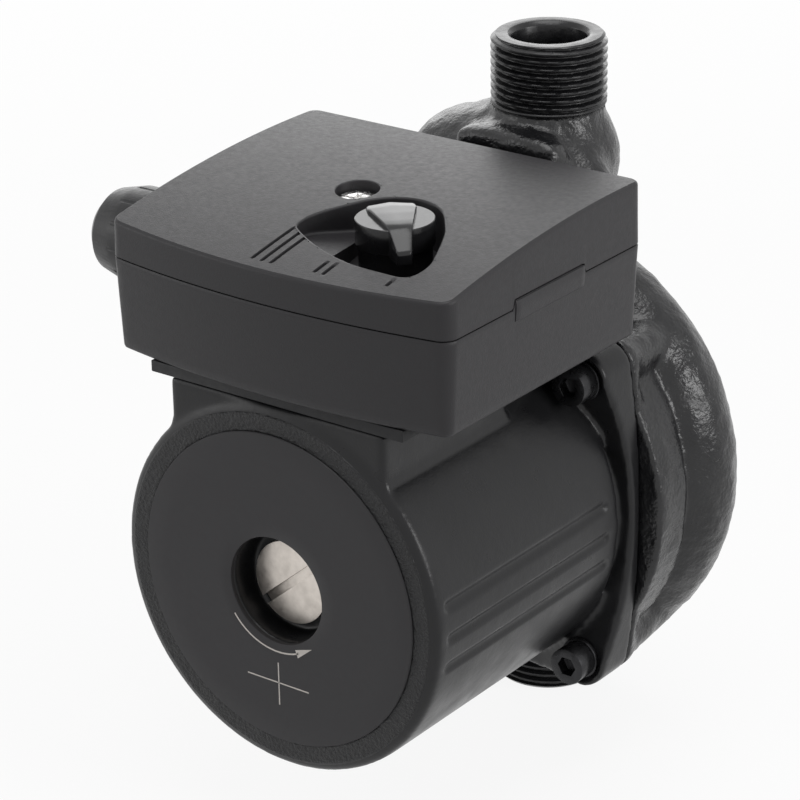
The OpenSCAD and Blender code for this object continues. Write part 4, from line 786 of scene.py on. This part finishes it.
# ---------------------------------------------------------------------------------
# Cable gland. Black polyamide: a hexagon against the box's left wall and a ribbed dome
# nut that squeezes the seal round a cable. No cable shows, so its bore is empty.
gland_black = finish("gland_black", (0.014, 0.014, 0.015), 0.36, specular=0.35)
relief(gland_black, (noise(gland_black, 1700, 3), 0.00004))
ramp(gland_black, noise(gland_black, 500, 3), "Roughness", 0.3, 0.44)
put("gland_hexagon", bevelled("gland_body", "gland_hexagon", 0.4), "casing", gland_black,
    "black_plastic", "gland_body")
put("gland_dome_nut", bevelled("gland_nut", "gland_dome_nut", 0.25), "cable_nut", gland_black,
    "black_plastic", "gland_nut")

# ---------------------------------------------------------------------------------
# Pieces inside. They stay as the solids give them, each in the finish of what it is
# made of: stainless, graphite, sheet steel, lacquered copper, brass, ceramic, rubber.
stainless = finish("stainless", (0.58, 0.58, 0.59), 0.28, metallic=1.0)
ramp(stainless, noise(stainless, 600, 4, (1, 8, 1)), "Roughness", 0.2, 0.38)
sheets = finish("sheet_stack", (0.30, 0.30, 0.32), 0.4, metallic=1.0)
relief(sheets, (noise(sheets, 60, 1, (0.2, 40, 0.2)), 0.0002))
ramp(sheets, noise(sheets, 500, 3), "Roughness", 0.32, 0.5)
copper = finish("lacquered_copper", (0.52, 0.24, 0.10), 0.3, metallic=1.0)
relief(copper, (noise(copper, 900, 2, (1, 0.1, 1)), 0.0003))
ramp(copper, noise(copper, 700, 3), "Base Color", (0.40, 0.17, 0.07), (0.60, 0.29, 0.13))
carbon = finish("carbon_graphite", (0.045, 0.045, 0.048), 0.42)
relief(carbon, (noise(carbon, 2500, 3), 0.00003))
ceramic = finish("ground_ceramic", (0.80, 0.78, 0.72), 0.25)
relief(ceramic, (noise(ceramic, 1800, 2), 0.00001))
ivory = finish("moulded_ivory", (0.66, 0.60, 0.46), 0.42)
ramp(ivory, noise(ivory, 260, 3), "Base Color", (0.62, 0.56, 0.43), (0.70, 0.64, 0.50))
rubber = finish("black_rubber", (0.014, 0.014, 0.014), 0.7)
relief(rubber, (noise(rubber, 1500, 3), 0.00004))
brass = finish("plain_brass", (0.68, 0.48, 0.20), 0.3, metallic=1.0)
ramp(brass, noise(brass, 900, 3), "Roughness", 0.22, 0.42)
drawn = finish("drawn_aluminium", (0.66, 0.66, 0.68), 0.32, metallic=1.0)
ramp(drawn, noise(drawn, 500, 3, (0.1, 1, 1)), "Roughness", 0.24, 0.42)
red_sleeve = finish("red_sleeve", (0.40, 0.03, 0.025), 0.4)
relief(red_sleeve, (noise(red_sleeve, 1200, 2), 0.00002))
inner = {"wear_ring": stainless, "bearing_plate": stainless, "rotor_can": stainless, "rotor_core": stainless,
         "stator_core": sheets, "stator_windings": copper, "rear_bearing": carbon, "front_bearing": carbon,
         "thrust_ring": carbon, "shaft": ceramic, "impeller": ivory, "terminal_block": ivory,
         "housing_gasket": rubber, "vent_o_ring": rubber, "lid_seal": rubber, "gland_seal": rubber,
         "terminal_screws": brass, "earth_screw": brass, "box_screws": zinc, "capacitor": drawn,
         "capacitor_clip": moulded_black, "speed_switch": moulded_black, "gland_locknut": gland_black,
         "winding_leads": red_sleeve}
for node, made in inner.items():
    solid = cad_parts[node]
    solid.data.materials.clear()
    solid.data.materials.append(made)

# ---------------------------------------------------------------------------------
# Studio. A pale floor under white surroundings, with large soft lamps above, at the
# back and at the right, and a weak one on the nameplate's side.
scene = bpy.context.scene
scene.view_settings.view_transform = "Standard"
world = bpy.data.worlds.new("surroundings")
scene.world = world
world.use_nodes = True
nodes, links = world.node_tree.nodes, world.node_tree.links
sky = nodes["Background"]
sky.inputs["Color"].default_value = (1, 1, 1, 1)


def straight_rays(nodes, links):
    """1 for rays that see the background straight, in a mirror or through glass, else 0."""
    seen = nodes.new("ShaderNodeLightPath")
    either = nodes.new("ShaderNodeMath")
    either.operation = "MAXIMUM"
    any_of = nodes.new("ShaderNodeMath")
    any_of.operation = "MAXIMUM"
    links.new(seen.outputs["Is Camera Ray"], either.inputs[0])
    links.new(seen.outputs["Is Glossy Ray"], either.inputs[1])
    links.new(either.outputs["Value"], any_of.inputs[0])
    links.new(seen.outputs["Is Transmission Ray"], any_of.inputs[1])
    return any_of.outputs["Value"]


level = nodes.new("ShaderNodeMapRange")
level.inputs["To Min"].default_value = 0.22
level.inputs["To Max"].default_value = 1.0
links.new(straight_rays(nodes, links), level.inputs["Value"])
links.new(level.outputs["Result"], sky.inputs["Strength"])

FLOOR_HALF, FLOOR_Z = 2600, -1.5
sides = (-FLOOR_HALF, FLOOR_HALF)
floor_grid = np.array([[(x, y, FLOOR_Z) for y in sides] for x in sides], float)
floor_mesh = skin("floor", floor_grid)
floor = bpy.data.objects.new("floor", floor_mesh)
scene.collection.objects.link(floor)
pale = bpy.data.materials.new("pale_floor")
pale.use_nodes = True
nodes, links = pale.node_tree.nodes, pale.node_tree.links
shader = nodes["Principled BSDF"]
shader.inputs["Base Color"].default_value = (0.86, 0.86, 0.86, 1)
shader.inputs["Roughness"].default_value = 0.8
glow = nodes.new("ShaderNodeEmission")
glow.inputs["Color"].default_value = (1, 1, 1, 1)
mix = nodes.new("ShaderNodeMixShader")
share = nodes.new("ShaderNodeMath")
share.operation = "MULTIPLY"
links.new(straight_rays(nodes, links), share.inputs[0])
# away from the object the floor turns as white as its surroundings
place = nodes.new("ShaderNodeTexCoord")
reach = nodes.new("ShaderNodeVectorMath")
reach.operation = "LENGTH"
links.new(place.outputs["Object"], reach.inputs[0])
fade = nodes.new("ShaderNodeMapRange")
for key, value in (("From Min", 0.3), ("From Max", 0.8), ("To Min", 0.9), ("To Max", 1.0)):
    fade.inputs[key].default_value = value
links.new(reach.outputs["Value"], fade.inputs["Value"])
links.new(fade.outputs["Result"], share.inputs[1])
links.new(share.outputs["Value"], mix.inputs["Fac"])
links.new(shader.outputs["BSDF"], mix.inputs[1])
links.new(glow.outputs["Emission"], mix.inputs[2])
links.new(mix.outputs["Shader"], nodes["Material Output"].inputs["Surface"])
floor_mesh.materials.append(pale)

LIT_POINT = Vector((0, -0.05, 0.08))
lamps = (("lamp_top", (0.1, -0.1, 1.2), 0.8, 6.5), ("lamp_back", (-0.8, 1.0, 0.62), 1.1, 5.5),
         ("lamp_right", (1.2, 0.1, 0.5), 0.5, 6.0), ("lamp_left", (-1.0, -0.8, 0.4), 0.6, 2.0))
for name, where, wide, energy in lamps:
    lamp = bpy.data.objects.new(name, bpy.data.lights.new(name, "AREA"))
    lamp.data.energy = energy
    lamp.data.size = wide
    lamp.location = where
    lamp.rotation_mode = "QUATERNION"
    lamp.rotation_quaternion = (LIT_POINT - lamp.location).to_track_quat("-Z", "Y")
    scene.collection.objects.link(lamp)
